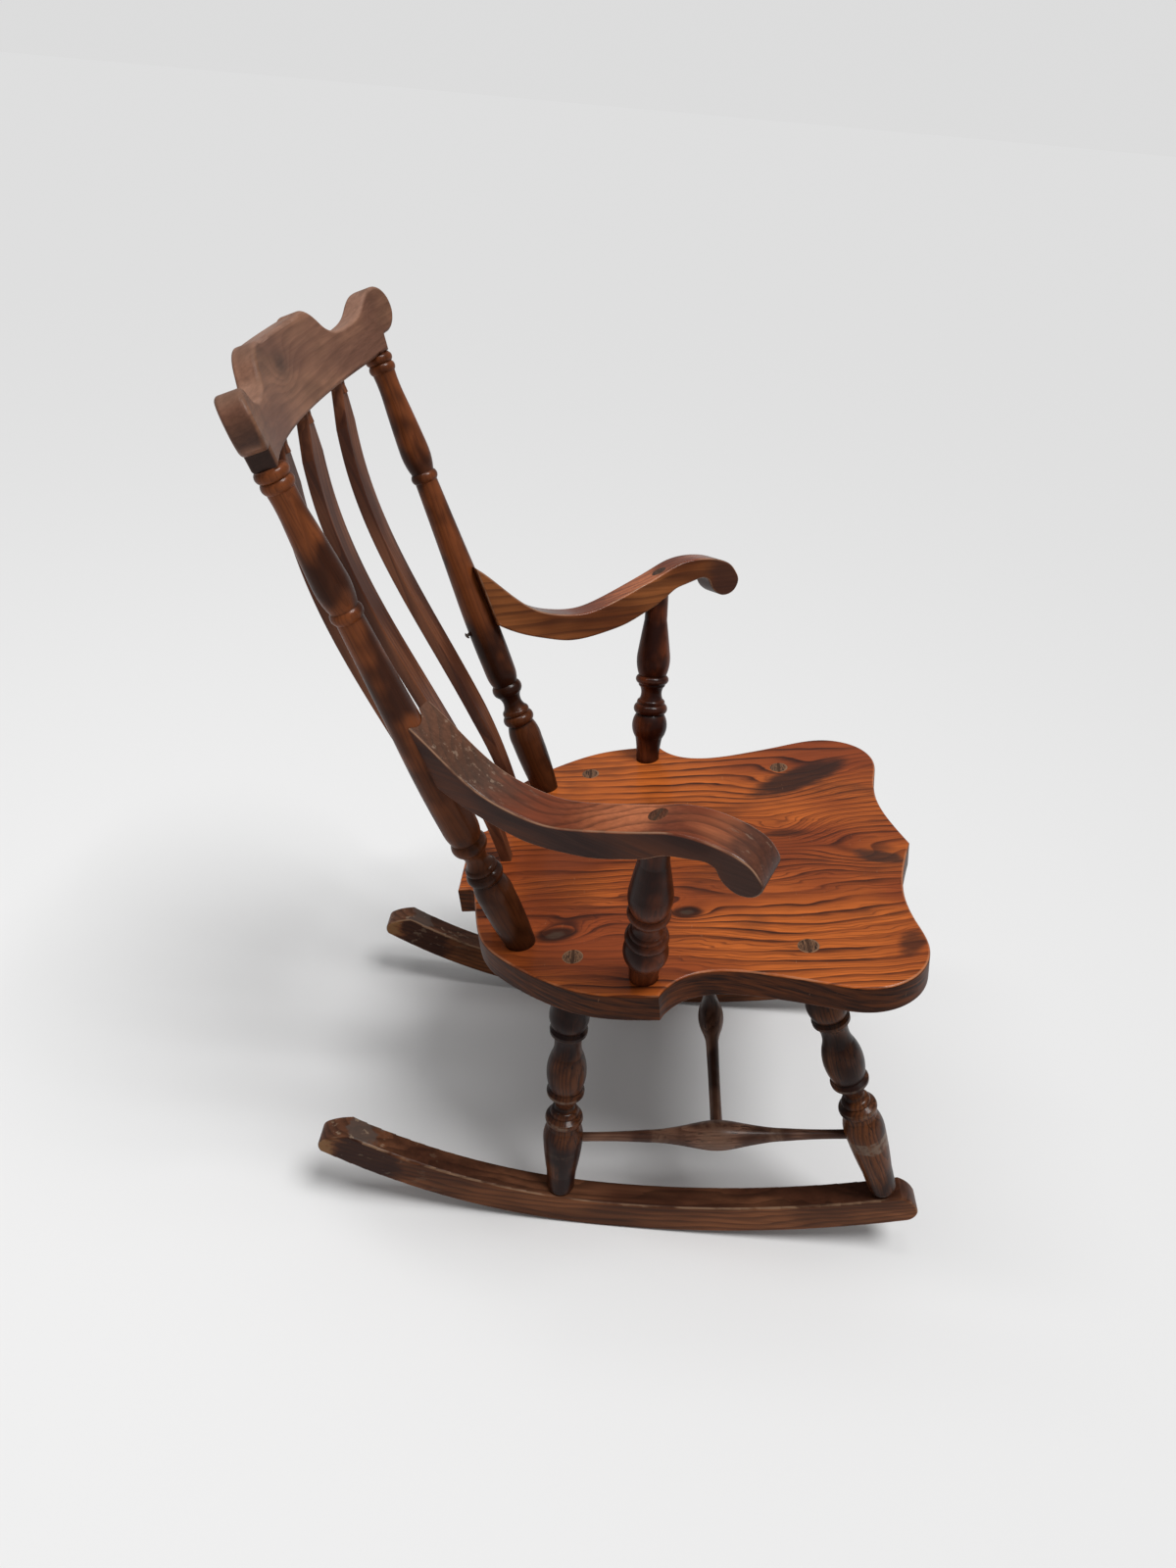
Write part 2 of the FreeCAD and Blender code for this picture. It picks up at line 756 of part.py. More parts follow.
def crest_band():
    """The bent board before it is sawn to its outline."""
    bow = size("crest_bow_radius")
    outer = bow + size("crest_thickness")
    span = size("crest_half_width") + size("overrun")

    def on_arc(radius, across):
        return (across, crest_centre() + math.sqrt(radius ** 2 - across ** 2))

    band = new_body("crest_band", crest_frame())
    plan = new_sketch(band, "XY_Plane", "crest_plan")
    draw_runs(plan, [
        [on_arc(bow, -span), on_arc(bow, 0), on_arc(bow, span)],
        [on_arc(bow, span), on_arc(outer, span)],
        [on_arc(outer, span), on_arc(outer, 0), on_arc(outer, -span)],
        [on_arc(outer, -span), on_arc(bow, -span)],
    ])
    pad(band, plan, "crest_band_pad", "Sizes.crest_height + Sizes.overrun")
    return band


def crest_blank():
    """A bent board sawn to a raised middle, two dips and two round ears."""
    height, reach = size("crest_height"), size("crest_half_width")
    sawn = new_body("crest_sawn", crest_frame())
    front = new_sketch(sawn, "XZ_Plane", "crest_outline")
    half = [[(x * reach, y * height) for x, y in run] for run in CREST_OUTLINE_SHARES]
    other = [[(-x, y) for x, y in reversed(run)] for run in reversed(half)]
    draw_runs(front, half + other)
    pad(sawn, front, "crest_sawn_pad", "2 * Sizes.crest_half_width", True)
    board = common("crest_board", crest_band(), sawn)
    through = crest_frame().Rotation.multVec(Vector(0, 1, 0))
    return rounded("crest_blank", board, edges_by_way(board, through, False),
                   "crest_edge_radius")


def crest_trimmer():
    """What lies above the crest's underside."""
    box = DOC.addObject("Part::Box", "over_crest")
    box.setExpression("Length", "2 * Sizes.crest_half_width")
    box.setExpression("Width", "2 * Sizes.crest_half_width")
    box.setExpression("Height", "Sizes.crest_height")
    corner = Vector(-size("crest_half_width"), -size("crest_half_width"), 0)
    box.Placement = crest_frame().multiply(FreeCAD.Placement(corner, FreeCAD.Rotation()))
    return box


# Spindles


def spindle_ends(place):
    """Middle of the spindle where it meets the seat and where it meets the crest."""
    across = place * size("spindle_half_span")
    foot = on_seat(across, size("spindle_foot_back") - abs(place) * size("spindle_advance"))
    depth = crest_face(across) + size("spindle_head_depth")
    return foot, crest_frame().multVec(Vector(across, depth, 0))


def spindle_frame(place):
    """Z from foot to head and Y to the rear, square to it."""
    foot, head = spindle_ends(place)
    along = (head - foot).normalize()
    rear = Vector(0, 1, 0)
    rear = (rear - along * rear.dot(along)).normalize()
    return FreeCAD.Placement(foot, FreeCAD.Rotation(rear.cross(along), rear, along))


def spindle_length(place):
    foot, head = spindle_ends(place)
    return (head - foot).Length


def spindle_side(name, place):
    """The bowed board seen from the side."""
    length, bow = spindle_length(place), size("spindle_bow")
    half = size("spindle_thickness") / 2
    body = new_body(name + "_side", spindle_frame(place))
    sketch = new_sketch(body, "YZ_Plane", name + "_side_outline")
    front = [(out * bow - half, rise * length) for rise, out in SPINDLE_BOW_SHARES]
    rear = [(out * bow + half, rise * length) for rise, out in SPINDLE_BOW_SHARES]
    rear.reverse()
    draw_runs(sketch, [front, [front[-1], rear[0]], rear, [rear[-1], front[0]]])
    pad(body, sketch, name + "_side_pad", "4 * Sizes.spindle_half_width", True)
    return body


def spindle_front(name, place):
    """The arrow seen from the front, longer at both ends than it is left."""
    length, wide = spindle_length(place), size("spindle_half_width")
    neck = size("spindle_neck_half_width")
    low = size("spindle_lower_taper")
    high = length - size("spindle_upper_taper")
    straight = size("spindle_neck_length")
    corners = [(neck, -size("overrun")), (neck, straight), (wide, low), (wide, high),
               (neck, length - straight), (neck, length + size("overrun"))]
    corners += [(-x, y) for x, y in reversed(corners)]
    body = new_body(name + "_front", spindle_frame(place))
    sketch = new_sketch(body, "XZ_Plane", name + "_front_outline")
    draw_runs(sketch, closed_chain(corners))
    pad(body, sketch, name + "_front_pad", "8 * Sizes.spindle_bow", True)
    return body


def build_spindle(name, place, over_crest, under_seat):
    """A flat arrow spindle: bowed to the rear in side view, and in front view narrow
    at both ends, with a long taper up from the seat and a short one below the crest."""
    board = common(name + "_board", spindle_side(name, place), spindle_front(name, place))
    eased = rounded(name + "_eased", board, edges_by_way(board, UP, True),
                    "spindle_edge_radius")
    blade = cut(name + "_blade", eased, [over_crest, under_seat])
    pegs = [peg(name + "_" + end + "_tenon", spindle_tenon_frame(end, place),
                "Sizes.spindle_tenon_radius", SPINDLE_TENON)
            for end in ("foot", "head")]
    return fuse(name + "_whole", [blade] + pegs)


SPINDLE_TENON = "Sizes.spindle_tenon_length + Sizes.overrun"


def spindle_tenon_frame(end, place):
    """Starts an overrun inside the blade and runs out of its end."""
    foot, head = spindle_ends(place)
    along = (head - foot).normalize()
    if end == "foot":
        return frame_along(foot + along * size("overrun"), foot)
    up = crest_frame().Rotation.multVec(UP)
    return frame_along(head - up * size("overrun"), head)


def spindle_mortise(end, name, place):
    return peg(name + "_" + end + "_mortise", spindle_tenon_frame(end, place),
               "Sizes.spindle_tenon_radius + Sizes.glue_gap",
               SPINDLE_TENON + " + Sizes.glue_gap")


# Arms


def arm_point(along_share, up_share):
    reach = size("arm_rear_reach") if along_share < 0 else size("arm_front_reach")
    return (along_share * reach, up_share * size("arm_drop"))


def arm_blank(side):
    """A flared board sawn to an S with a scroll at the hand, its edges eased."""
    forward, outward, upward = arm_axes(side)
    across = forward.cross(upward)
    inner = size("arm_width") * ARM_INNER_SHARE
    start = size("arm_width") - inner if across.dot(outward) < 0 else inner
    base = arm_anchor(side) - across * start
    name = side_name(side) + "_arm"
    turn = FreeCAD.Rotation(forward, upward, across)
    body = new_body(name + "_blank", FreeCAD.Placement(base, turn))
    sketch = new_sketch(body, "XY_Plane", name + "_outline")
    draw_runs(sketch, [[arm_point(*share) for share in run]
                       for run in ARM_OUTLINE_SHARES])
    pad(body, sketch, name + "_pad", "Sizes.arm_width")
    return eased(body, name + "_edges", "arm_edge_radius")


def arm_cope(side):
    """The hollow in the arm's rear end that sits against the back post."""
    (low, low_radius), (high, high_radius) = ARM_COPE_SHARES
    frame = shifted(back_post_frame(side), low * size("back_post_length"))
    radius = "Sizes.back_post_radius * %g + Sizes.glue_gap"
    return taper(side_name(side) + "_arm_cope", frame, radius % low_radius,
                 radius % high_radius, "Sizes.back_post_length * %g" % (high - low))


def arm_rest_frame(side):
    """On the arm post's axis, from the underside of the arm upwards."""
    frame = arm_post_frame(side)
    reach = (arm_anchor(side) - frame.Base).Length
    return shifted(frame, reach - size("arm_drop"))


def build_arm_and_post(side, seat_sockets):
    """The post goes right through the arm and is wedged from above."""
    hand = side_name(side)
    arm = arm_blank(side)
    frame = arm_rest_frame(side)
    length = "Sizes.arm_drop + Sizes.overrun"
    through = peg(hand + "_arm_tenon_peg", frame, "Sizes.arm_post_tenon_radius", length)
    tenon = common(hand + "_arm_tenon", through, arm)
    hole = peg(hand + "_arm_mortise", frame,
               "Sizes.arm_post_tenon_radius + Sizes.glue_gap", length)
    shaft = cut(hand + "_arm_post_shaft", arm_post_shaft(side), [arm])
    whole = fuse(hand + "_arm_post_whole", [shaft, tenon])
    top = kerf_frame(arm_anchor(side), frame.Rotation.multVec(UP), arm_axes(side)[0])
    whole = wedged(hand + "_arm_post", whole, top, tenon)
    seat_sockets.append(tapered_socket(hand + "_arm_post_socket",
                                       arm_post_frame(side), "arm_post"))
    keep(hand + "_arm_post", whole)
    tools = [hole, arm_cope(side)]
    if side in SCREWED_SIDES:
        tools.append(screw_hole(hand + "_arm_pilot", side))
    keep(hand + "_arm", cut(hand + "_arm_whole", arm, tools))


# Screw through the back post into the end of the arm


def screw_frame(side):
    """On the post's axis, pointing forward and up into the arm."""
    post = back_post_frame(side)
    forward, outward, upward = arm_axes(side)
    axis = post.Rotation.multVec(UP)
    rise = math.tan(math.radians(size("screw_rise")))
    middle = point_along(post, size("screw_height"))
    return frame_along(middle, middle + forward + axis * rise)


def screw_seat():
    """How far behind the post's axis the screw's head sits."""
    return size("back_post_radius") / math.cos(math.radians(size("screw_rise")))


def screw_hole(name, side):
    frame = shifted(screw_frame(side), -screw_seat() - size("overrun"))
    return peg(name, frame, "Sizes.screw_radius + Sizes.glue_gap",
               "Sizes.screw_length + Sizes.overrun + Sizes.glue_gap")


def screw_sinking(name, side):
    """The flat spot that takes the head."""
    frame = shifted(screw_frame(side), -screw_seat() - size("overrun"))
    return peg(name, frame, "Sizes.screw_head_radius + Sizes.glue_gap",
               "Sizes.overrun - Sizes.glue_gap")


def build_screw(side):
    """A round-headed screw with a pointed end."""
    name = side_name(side) + "_arm_screw"
    radius, head = size("screw_radius"), size("screw_head_radius")
    length, rise = size("screw_length"), size("screw_head_height")
    point = length - size("screw_head_height")
    dome = head * SCREW_DOME_SHARE
    runs = [[(0, -rise), (dome, -rise * SCREW_DOME_SHARE), (head, 0)],
            [(head, 0), (radius, 0)],
            [(radius, 0), (radius, point)],
            [(radius, point), (0, length)]]
    body = new_body(name, shifted(screw_frame(side), -screw_seat()))
    sketch = new_sketch(body, "XZ_Plane", name + "_profile")
    draw_runs(sketch, runs + [[(0, length), (0, -rise)]])
    return keep(name, revolved(body, sketch, name))


# Wedges


def kerf_frame(point, axis, grain):
    """At a tenon's end, Z out of it and X along the grain of the board it goes through."""
    along = (grain - axis * grain.dot(axis)).normalize()
    return FreeCAD.Placement(point, FreeCAD.Rotation(along, axis.cross(along), axis))


def wedge_blade(name, top, spare):
    """A tapered blade across a tenon, thick at the top, wider than the tenon."""
    thick = size("wedge_thickness") / 2 + spare
    tip = size("wedge_tip_thickness") / 2 + spare
    low = -size("wedge_depth") - spare
    high = size("overrun")
    grown = thick + (thick - tip) * high / size("wedge_depth")
    body = new_body(name, top)
    sketch = new_sketch(body, "XZ_Plane", name + "_outline")
    draw_runs(sketch, closed_chain([(tip, low), (grown, high), (-grown, high),
                                    (-tip, low)]))
    pad(body, sketch, name + "_pad", "4 * Sizes.leg_tenon_radius", True)
    return body


def wedged(name, piece, top, tenon):
    """Saws a kerf in a tenon's end and keeps the wedge that fills it."""
    kerf = wedge_blade(name + "_kerf", top, size("glue_gap"))
    blade = wedge_blade(name + "_wedge_blade", top, 0)
    keep(name + "_wedge", common(name + "_wedge_whole", blade, tenon))
    return cut(name + "_kerfed", piece, [kerf])


# Stretchers


def stretcher(name, start, end, setback, radius, shares, surface):
    """A turned bar between two axes: straight ends in their sockets, then the profile
    from surface to surface."""
    frame = frame_along(start, end)
    length = (end - start).Length
    runs = scaled_runs(shares, length - surface - surface, radius, surface)
    first, last = runs[0][0], runs[-1][-1]
    runs = [[(first[0], setback), first]] + runs + [[last, (last[0], length - setback)]]
    return turned_body(name, frame, runs)


def stretcher_sockets(name, start, end, setback, radius):
    """The holes for a bar's two straight ends."""
    frames = [shifted(frame_along(start, end), setback),
              shifted(frame_along(end, start), setback)]
    return [peg("%s_socket_%d" % (name, index), frame, radius + " + Sizes.glue_gap",
                "Sizes.leg_radius + Sizes.overrun")
            for index, frame in enumerate(frames)]


def build_side_stretcher(side):
    name = side_name(side) + "_side_stretcher"
    rear, front = side_stretcher_ends(side)
    surface = size("leg_radius")
    setback = surface - size("stretcher_tenon_depth")
    bar = stretcher(name + "_turned", rear, front, setback,
                    size("side_stretcher_radius"), SIDE_STRETCHER_SHARES, surface)
    share = SIDE_STRETCHER_SHARES[0][0][1]
    sockets = stretcher_sockets(name, rear, front, setback - size("glue_gap"),
                                "Sizes.side_stretcher_radius * %g" % share)
    return bar, sockets


def stretcher_bulb(side):
    """The middle of a side stretcher's bulb, which carries the cross stretcher."""
    rear, front = side_stretcher_ends(side)
    frame = frame_along(rear, front)
    surface = size("leg_radius")
    seen = (front - rear).Length - surface - surface
    return point_along(frame, surface + seen * STRETCHER_BULB_SHARE)


def build_cross_stretcher():
    ends = [stretcher_bulb(side) for side in SIDES]
    surface = size("side_stretcher_radius")
    setback = surface - size("cross_tenon_depth")
    bar = stretcher("cross_stretcher_turned", ends[0], ends[1], setback,
                    size("cross_stretcher_radius"), CROSS_STRETCHER_SHARES, surface)
    share = CROSS_STRETCHER_SHARES[0][0][1]
    sockets = stretcher_sockets("cross_stretcher", ends[0], ends[1],
                                setback - size("glue_gap"),
                                "Sizes.cross_stretcher_radius * %g" % share)
    return bar, sockets


# Assembly


def build_leg(end, side, plank, rocker, socket):
    """A turned leg, wedged through the seat and pegged into the rocker."""
    name = "%s_%s_leg" % (side_name(side), end)
    top, foot = leg_ends(end, side)
    frame = frame_along(top, foot)
    head = shifted(frame, -size("overrun"))
    reach = shifted(frame, (foot - top).Length - size("overrun"))
    shaft = cut(name + "_shaft", leg_shaft(end, side), [plank, rocker])
    length = "Sizes.seat_thickness * 2"
    through = peg(name + "_tenon_peg", head, "Sizes.leg_tenon_radius", length)
    tenon = common(name + "_tenon", through, plank)
    ankle = peg(name + "_foot_tenon", reach, "Sizes.foot_tenon_radius",
                "Sizes.foot_tenon_depth + Sizes.overrun")
    whole = fuse(name + "_joined", [shaft, tenon, ankle])
    upside = kerf_frame(top, (top - foot).normalize(), Vector(0, 1, 0))
    whole = wedged(name, whole, upside, tenon)
    keep(name, cut(name + "_whole", whole, [socket]))
    mortise = peg(name + "_mortise", head, "Sizes.leg_tenon_radius + Sizes.glue_gap",
                  length)
    foot_mortise = peg(name + "_foot_mortise", reach,
                       "Sizes.foot_tenon_radius + Sizes.glue_gap",
                       "Sizes.foot_tenon_depth + Sizes.overrun + Sizes.glue_gap")
    return mortise, foot_mortise


def build_base(plank, seat_sockets):
    """Rockers, legs and the H stretcher."""
    cross, cross_sockets = build_cross_stretcher()
    keep("cross_stretcher", cross)
    for index, side in enumerate(SIDES):
        hand = side_name(side)
        bar, leg_sockets = build_side_stretcher(side)
        keep(hand + "_side_stretcher",
             cut(hand + "_side_stretcher_whole", bar, [cross_sockets[index]]))
        rocker = rocker_blank(side)
        rocker_holes = []
        for end, socket in zip(("rear", "front"), leg_sockets):
            mortise, foot_mortise = build_leg(end, side, plank, rocker, socket)
            seat_sockets.append(mortise)
            rocker_holes.append(foot_mortise)
        keep(hand + "_rocker", cut(hand + "_rocker_whole", rocker, rocker_holes))


def build_back(seat_sockets):
    """Two turned posts and three spindles between the seat and the crest rail."""
    over_crest, under_seat = crest_trimmer(), seat_trimmer()
    crest = crest_blank()
    crest_sockets = []
    for side in SIDES:
        name = side_name(side) + "_back_post"
        shaft = cut(name + "_trimmed", back_post_shaft(side), [over_crest])
        tenon = peg(name + "_tenon", back_post_tenon_frame(side),
                    "Sizes.back_post_tenon_radius",
                    "Sizes.back_post_tenon_length + Sizes.overrun")
        post = fuse(name + "_whole", [shaft, tenon])
        if side in SCREWED_SIDES:
            post = cut(name + "_bored", post, [screw_hole(name + "_hole", side),
                                               screw_sinking(name + "_spot", side)])
        keep(name, post)
        seat_sockets.append(tapered_socket(name + "_socket", back_post_frame(side),
                                           "back_post"))
        crest_sockets.append(peg(
            name + "_mortise", back_post_tenon_frame(side),
            "Sizes.back_post_tenon_radius + Sizes.glue_gap",
            "Sizes.back_post_tenon_length + Sizes.overrun + Sizes.glue_gap"))
    for name, place in SPINDLE_PLACES:
        keep(name, build_spindle(name, place, over_crest, under_seat))
        crest_sockets.append(spindle_mortise("head", name, place))
        seat_sockets.append(spindle_mortise("foot", name, place))
    keep("crest_rail", cut("crest_whole", crest, crest_sockets))


def build():
    plank = seat_blank()
    seat_sockets = []
    build_base(plank, seat_sockets)
    build_back(seat_sockets)
    for side in SIDES:
        build_arm_and_post(side, seat_sockets)
    for side in SCREWED_SIDES:
        build_screw(side)
    keep("seat", cut("seat_whole", plank, seat_sockets))


def write_parts():
    os.makedirs("parts", exist_ok=True)
    for item in DOC.Objects:
        if "Invalid" in item.State or "Error" in item.State:
            raise RuntimeError("failed: " + item.Name)
    for name, piece in NODES.items():
        if piece.Shape.isNull() or not piece.Shape.isValid():
            raise RuntimeError("no valid solid: " + name)
        piece.Shape.exportStep("parts/%s.step" % name)
        print(name, round(piece.Shape.Volume), len(piece.Shape.Solids),
              len(piece.Shape.Faces))


build()
write_parts()
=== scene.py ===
import json
import math

import bpy
import numpy as np
from mathutils import Matrix, Vector

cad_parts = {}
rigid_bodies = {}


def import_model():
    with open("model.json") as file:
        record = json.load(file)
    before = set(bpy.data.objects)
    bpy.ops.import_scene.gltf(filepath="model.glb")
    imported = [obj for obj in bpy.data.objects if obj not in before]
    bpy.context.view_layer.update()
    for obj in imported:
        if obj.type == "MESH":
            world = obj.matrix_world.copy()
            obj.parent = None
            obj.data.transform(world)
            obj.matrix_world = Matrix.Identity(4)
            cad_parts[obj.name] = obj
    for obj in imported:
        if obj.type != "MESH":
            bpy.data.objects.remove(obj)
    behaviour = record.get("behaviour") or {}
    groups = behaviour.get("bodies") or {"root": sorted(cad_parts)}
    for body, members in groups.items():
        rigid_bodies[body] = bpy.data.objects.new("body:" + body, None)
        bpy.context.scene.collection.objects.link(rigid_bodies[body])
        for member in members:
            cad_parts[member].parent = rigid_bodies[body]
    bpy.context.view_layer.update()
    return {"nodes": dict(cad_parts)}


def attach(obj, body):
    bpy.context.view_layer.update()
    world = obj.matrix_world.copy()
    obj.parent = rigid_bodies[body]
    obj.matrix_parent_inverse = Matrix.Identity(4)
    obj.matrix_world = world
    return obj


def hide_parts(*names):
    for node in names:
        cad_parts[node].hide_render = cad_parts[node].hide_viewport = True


for left_over in list(bpy.data.objects):
    bpy.data.objects.remove(left_over)

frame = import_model()


# The seat
# A flat plank of stained and varnished softwood, sawn to a waisted outline with eased edges.
# Its grain runs from front to back, in dark wavy lines that swing round the knots.
# The four leg tenons come up through it, flush with the top.

class Reading:
    """A number that changes over a surface. Arithmetic on it adds the nodes that work it out."""

    def __init__(self, finish, socket):
        self.finish = finish
        self.socket = socket

    def worked(self, operation, *others):
        return self.finish.node("ShaderNodeMath", {"operation": operation}, (self, *others))

    def __add__(self, other):
        return self.worked("ADD", other)

    __radd__ = __add__

    def __sub__(self, other):
        return self.worked("SUBTRACT", other)

    def __rsub__(self, other):
        return self.finish.node("ShaderNodeMath", {"operation": "SUBTRACT"}, (other, self))

    def __mul__(self, other):
        return self.worked("MULTIPLY", other)

    __rmul__ = __mul__

    def __truediv__(self, other):
        return self.worked("DIVIDE", other)

    def __rtruediv__(self, other):
        return self.finish.node("ShaderNodeMath", {"operation": "DIVIDE"}, (other, self))

    def __neg__(self):
        return self * -1

    def squared(self):
        return self * self

    def part(self):
        """What is left over a whole number."""
        return self.worked("FRACT")

    def faded(self):
        """One where the reading is nothing, fading away as it grows."""
        return (-self).worked("EXPONENT")

    def between(self, low, high):
        """Nothing below low, one above high, and smooth from one to the other."""
        span = {"Value": self, "From Min": low, "From Max": high}
        return self.finish.node("ShaderNodeMapRange", {"interpolation_type": "SMOOTHSTEP"}, span)

    def strip(self, rise, fall):
        """Rises from nothing to one over the first span and back to nothing over the second."""
        return self.between(*rise) * (1 - self.between(*fall))


class Finish:
    """The stain, varnish and wear of one kind of piece, worked out by nodes."""

    PLAIN_SHEEN = 0.1

    def __init__(self, surface, shader="Principled BSDF"):
        self.surface = surface
        self.surface.use_nodes = True
        self.nodes = self.surface.node_tree.nodes
        self.links = self.surface.node_tree.links
        self.shader = self.nodes[shader]

    def feed(self, socket, value):
        if isinstance(value, Reading):
            self.links.new(value.socket, socket)
        elif isinstance(value, tuple) and len(value) == 3 and len(socket.default_value) == 4:
            socket.default_value = (*value, 1)
        else:
            socket.default_value = value

    def node(self, kind, settings, inputs, output=0):
        """Adds a node: first its settings, then the numbers or readings that go into it."""
        made = self.nodes.new(kind)
        for name, value in settings.items():
            setattr(made, name, value)
        named = inputs.items() if isinstance(inputs, dict) else enumerate(inputs)
        for name, value in named:
            self.feed(made.inputs[name], value)
        return Reading(self, made.outputs[output])

    def place(self):
        """Where a point is on the chair, in metres."""
        return self.node("ShaderNodeTexCoord", {}, {}, "Object")

    def carried(self, name):
        """A direction that the piece's own surface carries."""
        return self.node("ShaderNodeAttribute", {"attribute_name": name}, {}, "Vector")

    def carried_number(self, name):
        return self.node("ShaderNodeAttribute", {"attribute_name": name}, {}, "Fac")

    def facing(self, direction):
        """How far the surface faces a direction, from one to minus one."""
        normal = self.node("ShaderNodeNewGeometry", {}, {}, "Normal")
        dot = {"operation": "DOT_PRODUCT"}
        return self.node("ShaderNodeVectorMath", dot, (normal, direction), "Value")

    def parts(self, vector):
        split = self.node("ShaderNodeSeparateXYZ", {}, (vector,)).socket.node
        return [Reading(self, way) for way in split.outputs]

    def stretched(self, vector, scale):
        return self.node("ShaderNodeVectorMath", {"operation": "MULTIPLY"}, (vector, scale))

    def cloud(self, vector, per_metre, detail, roughness=0.5):
        """A soft random reading about one half. It changes so many times in a metre each way."""
        spread = {"Vector": self.stretched(vector, per_metre), "Scale": 1,
                  "Detail": detail, "Roughness": roughness}
        return self.node("ShaderNodeTexNoise", {}, spread, "Fac")

    def blend(self, share, under, over):
        """The colour under, and over where share is one."""
        inputs = {0: share, 6: under, 7: over}
        return self.node("ShaderNodeMix", {"data_type": "RGBA"}, inputs, 2)

    def spotted(self, spot, rim, share, under, over):
        """The colour under, and a share of over inside a spot. The rim is where the spot ends."""
        return self.blend((1 - spot.between(*rim)) * share, under, over)

    def tinted(self, colour, strength):
        """The colour, darker or lighter by a reading."""
        scale = {"operation": "SCALE"}
        return self.node("ShaderNodeVectorMath", scale, {0: colour, "Scale": strength})

    def varnish(self, colour, relief, roughness, gloss=0.0, gloss_roughness=0.1):
        """Ends the finish: its colour, the height of its grain in metres, and its polish."""
        bump = self.node("ShaderNodeBump", {}, {"Strength": 1, "Distance": 1, "Height": relief})
        self.feed(self.shader.inputs["Base Color"], colour)
        self.feed(self.shader.inputs["Roughness"], roughness)
        self.feed(self.shader.inputs["Normal"], bump)
        self.feed(self.shader.inputs["Coat Weight"], gloss)
        self.feed(self.shader.inputs["Coat Roughness"], gloss_roughness)
        self.feed(self.shader.inputs["Specular IOR Level"], self.PLAIN_SHEEN)
        return self.surface


def dressed(node, finish, ways=None, root=None, start=0.0):
    """A copy of a piece's solid, in a finish. It carries the place of each point along the
    piece's own ways, the grain last, from its root. Start shifts the pattern along the grain."""
    solid = frame["nodes"][node]
    piece = solid.copy()
    piece.data = solid.data.copy()
    piece.name = node + "_finished"
    bpy.context.scene.collection.objects.link(piece)
    places = np.empty(len(piece.data.vertices) * 3)
    piece.data.vertices.foreach_get("co", places)
    places = places.reshape(-1, 3)
    middle = places.mean(0)
    if ways is None:
        ways = np.linalg.svd(places - middle, full_matrices=False)[2][::-1]
        ways = ways * np.where(ways[np.arange(3), np.abs(ways).argmax(1)] < 0, -1, 1)[:, None]
    grain = (places - (middle if root is None else root)) @ np.array(ways, float).T
    carried = piece.data.attributes.new("grain", "FLOAT_VECTOR", "POINT")
    carried.data.foreach_set("vector", (grain + (0, 0, start)).ravel())
    piece.data.materials.clear()
    piece.data.materials.append(finish)
    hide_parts(node)
    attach(piece, "root")
    return piece, grain


def oval(across, back, middle, half_width, half_length, turn=0.0):
    """Grows from nothing at the middle of an oval to one at its rim."""
    x, y = across - middle[0], back - middle[1]
    wide = (x * math.cos(turn) + y * math.sin(turn)) / half_width
    long = (y * math.cos(turn) - x * math.sin(turn)) / half_length
    return wide.squared() + long.squared()


SEAT_TILT = math.radians(9.28)
SEAT_LINE_SPACING = 0.0145
SEAT_FIBRE_HEIGHT, SEAT_LINE_DEPTH, SEAT_WAVE_HEIGHT = 0.00007, 0.00005, 0.0006
SEAT_DEEP, SEAT_BRIGHT = (0.240, 0.048, 0.012), (0.490, 0.118, 0.020)
SEAT_BAND, SEAT_SMUDGE = (0.150, 0.030, 0.009), (0.050, 0.016, 0.009)
SEAT_LINE, SEAT_THIN_LINE = (0.020, 0.0055, 0.004), (0.055, 0.012, 0.006)
KNOT_RIM, KNOT_HEART = (0.016, 0.006, 0.004), (0.075, 0.052, 0.036)
# Painted shade for the seat's sides and underside: near black, with golden streaks of grain.
SEAT_SHADED_SIDE_DARK, SEAT_SHADED_SIDE_LIGHT = (0.012, 0.003, 0.001), (0.095, 0.024, 0.005)
SEAT_RUBBED, SEAT_SCRATCH = (0.42, 0.17, 0.08), (0.42, 0.22, 0.12)

# The grain swings round each of these: its middle, half width, half length, turn, and the
# number of lines that swing. The first two are knots with an eye.
SWING_REACH = 1.6
SEAT_KNOTS = (
    ((-0.155, 0.089), 0.012, 0.022, 0.15, 2.6),
    ((-0.122, -0.060), 0.010, 0.017, 0.0, 2.2),
    ((0.030, -0.178), 0.022, 0.036, 0.1, 3.4),
    ((-0.022, -0.262), 0.016, 0.036, -0.4, 2.4),
    ((0.158, -0.200), 0.026, 0.070, 0.55, 3.0),
)

# The dark patches: middle, half width, half length, turn, raggedness, rim, share and colour.
SEAT_PATCHES = (
    ((0.158, -0.213), 0.024, 0.074, 0.56, 1.3, (1.1, 2.2), 0.92, (0.026, 0.011, 0.008)),
    ((0.030, -0.186), 0.010, 0.034, 0.1, 1.6, (0.8, 2.0), 0.7, (0.026, 0.009, 0.006)),
    ((-0.028, -0.290), 0.014, 0.036, -0.3, 1.6, (1.1, 2.0), 0.85, (0.030, 0.016, 0.012)),
    ((-0.187, -0.300), 0.026, 0.016, -0.5, 1.8, (1.0, 2.1), 0.75, (0.030, 0.012, 0.008)),
    # The last one is painted shade: a broad darkening across the rear middle of the seat, by the
    # back.
    ((-0.005, 0.090), 0.150, 0.060, 0.0, 1.2, (0.9, 2.0), 0.3, (0.040, 0.012, 0.006)),
)

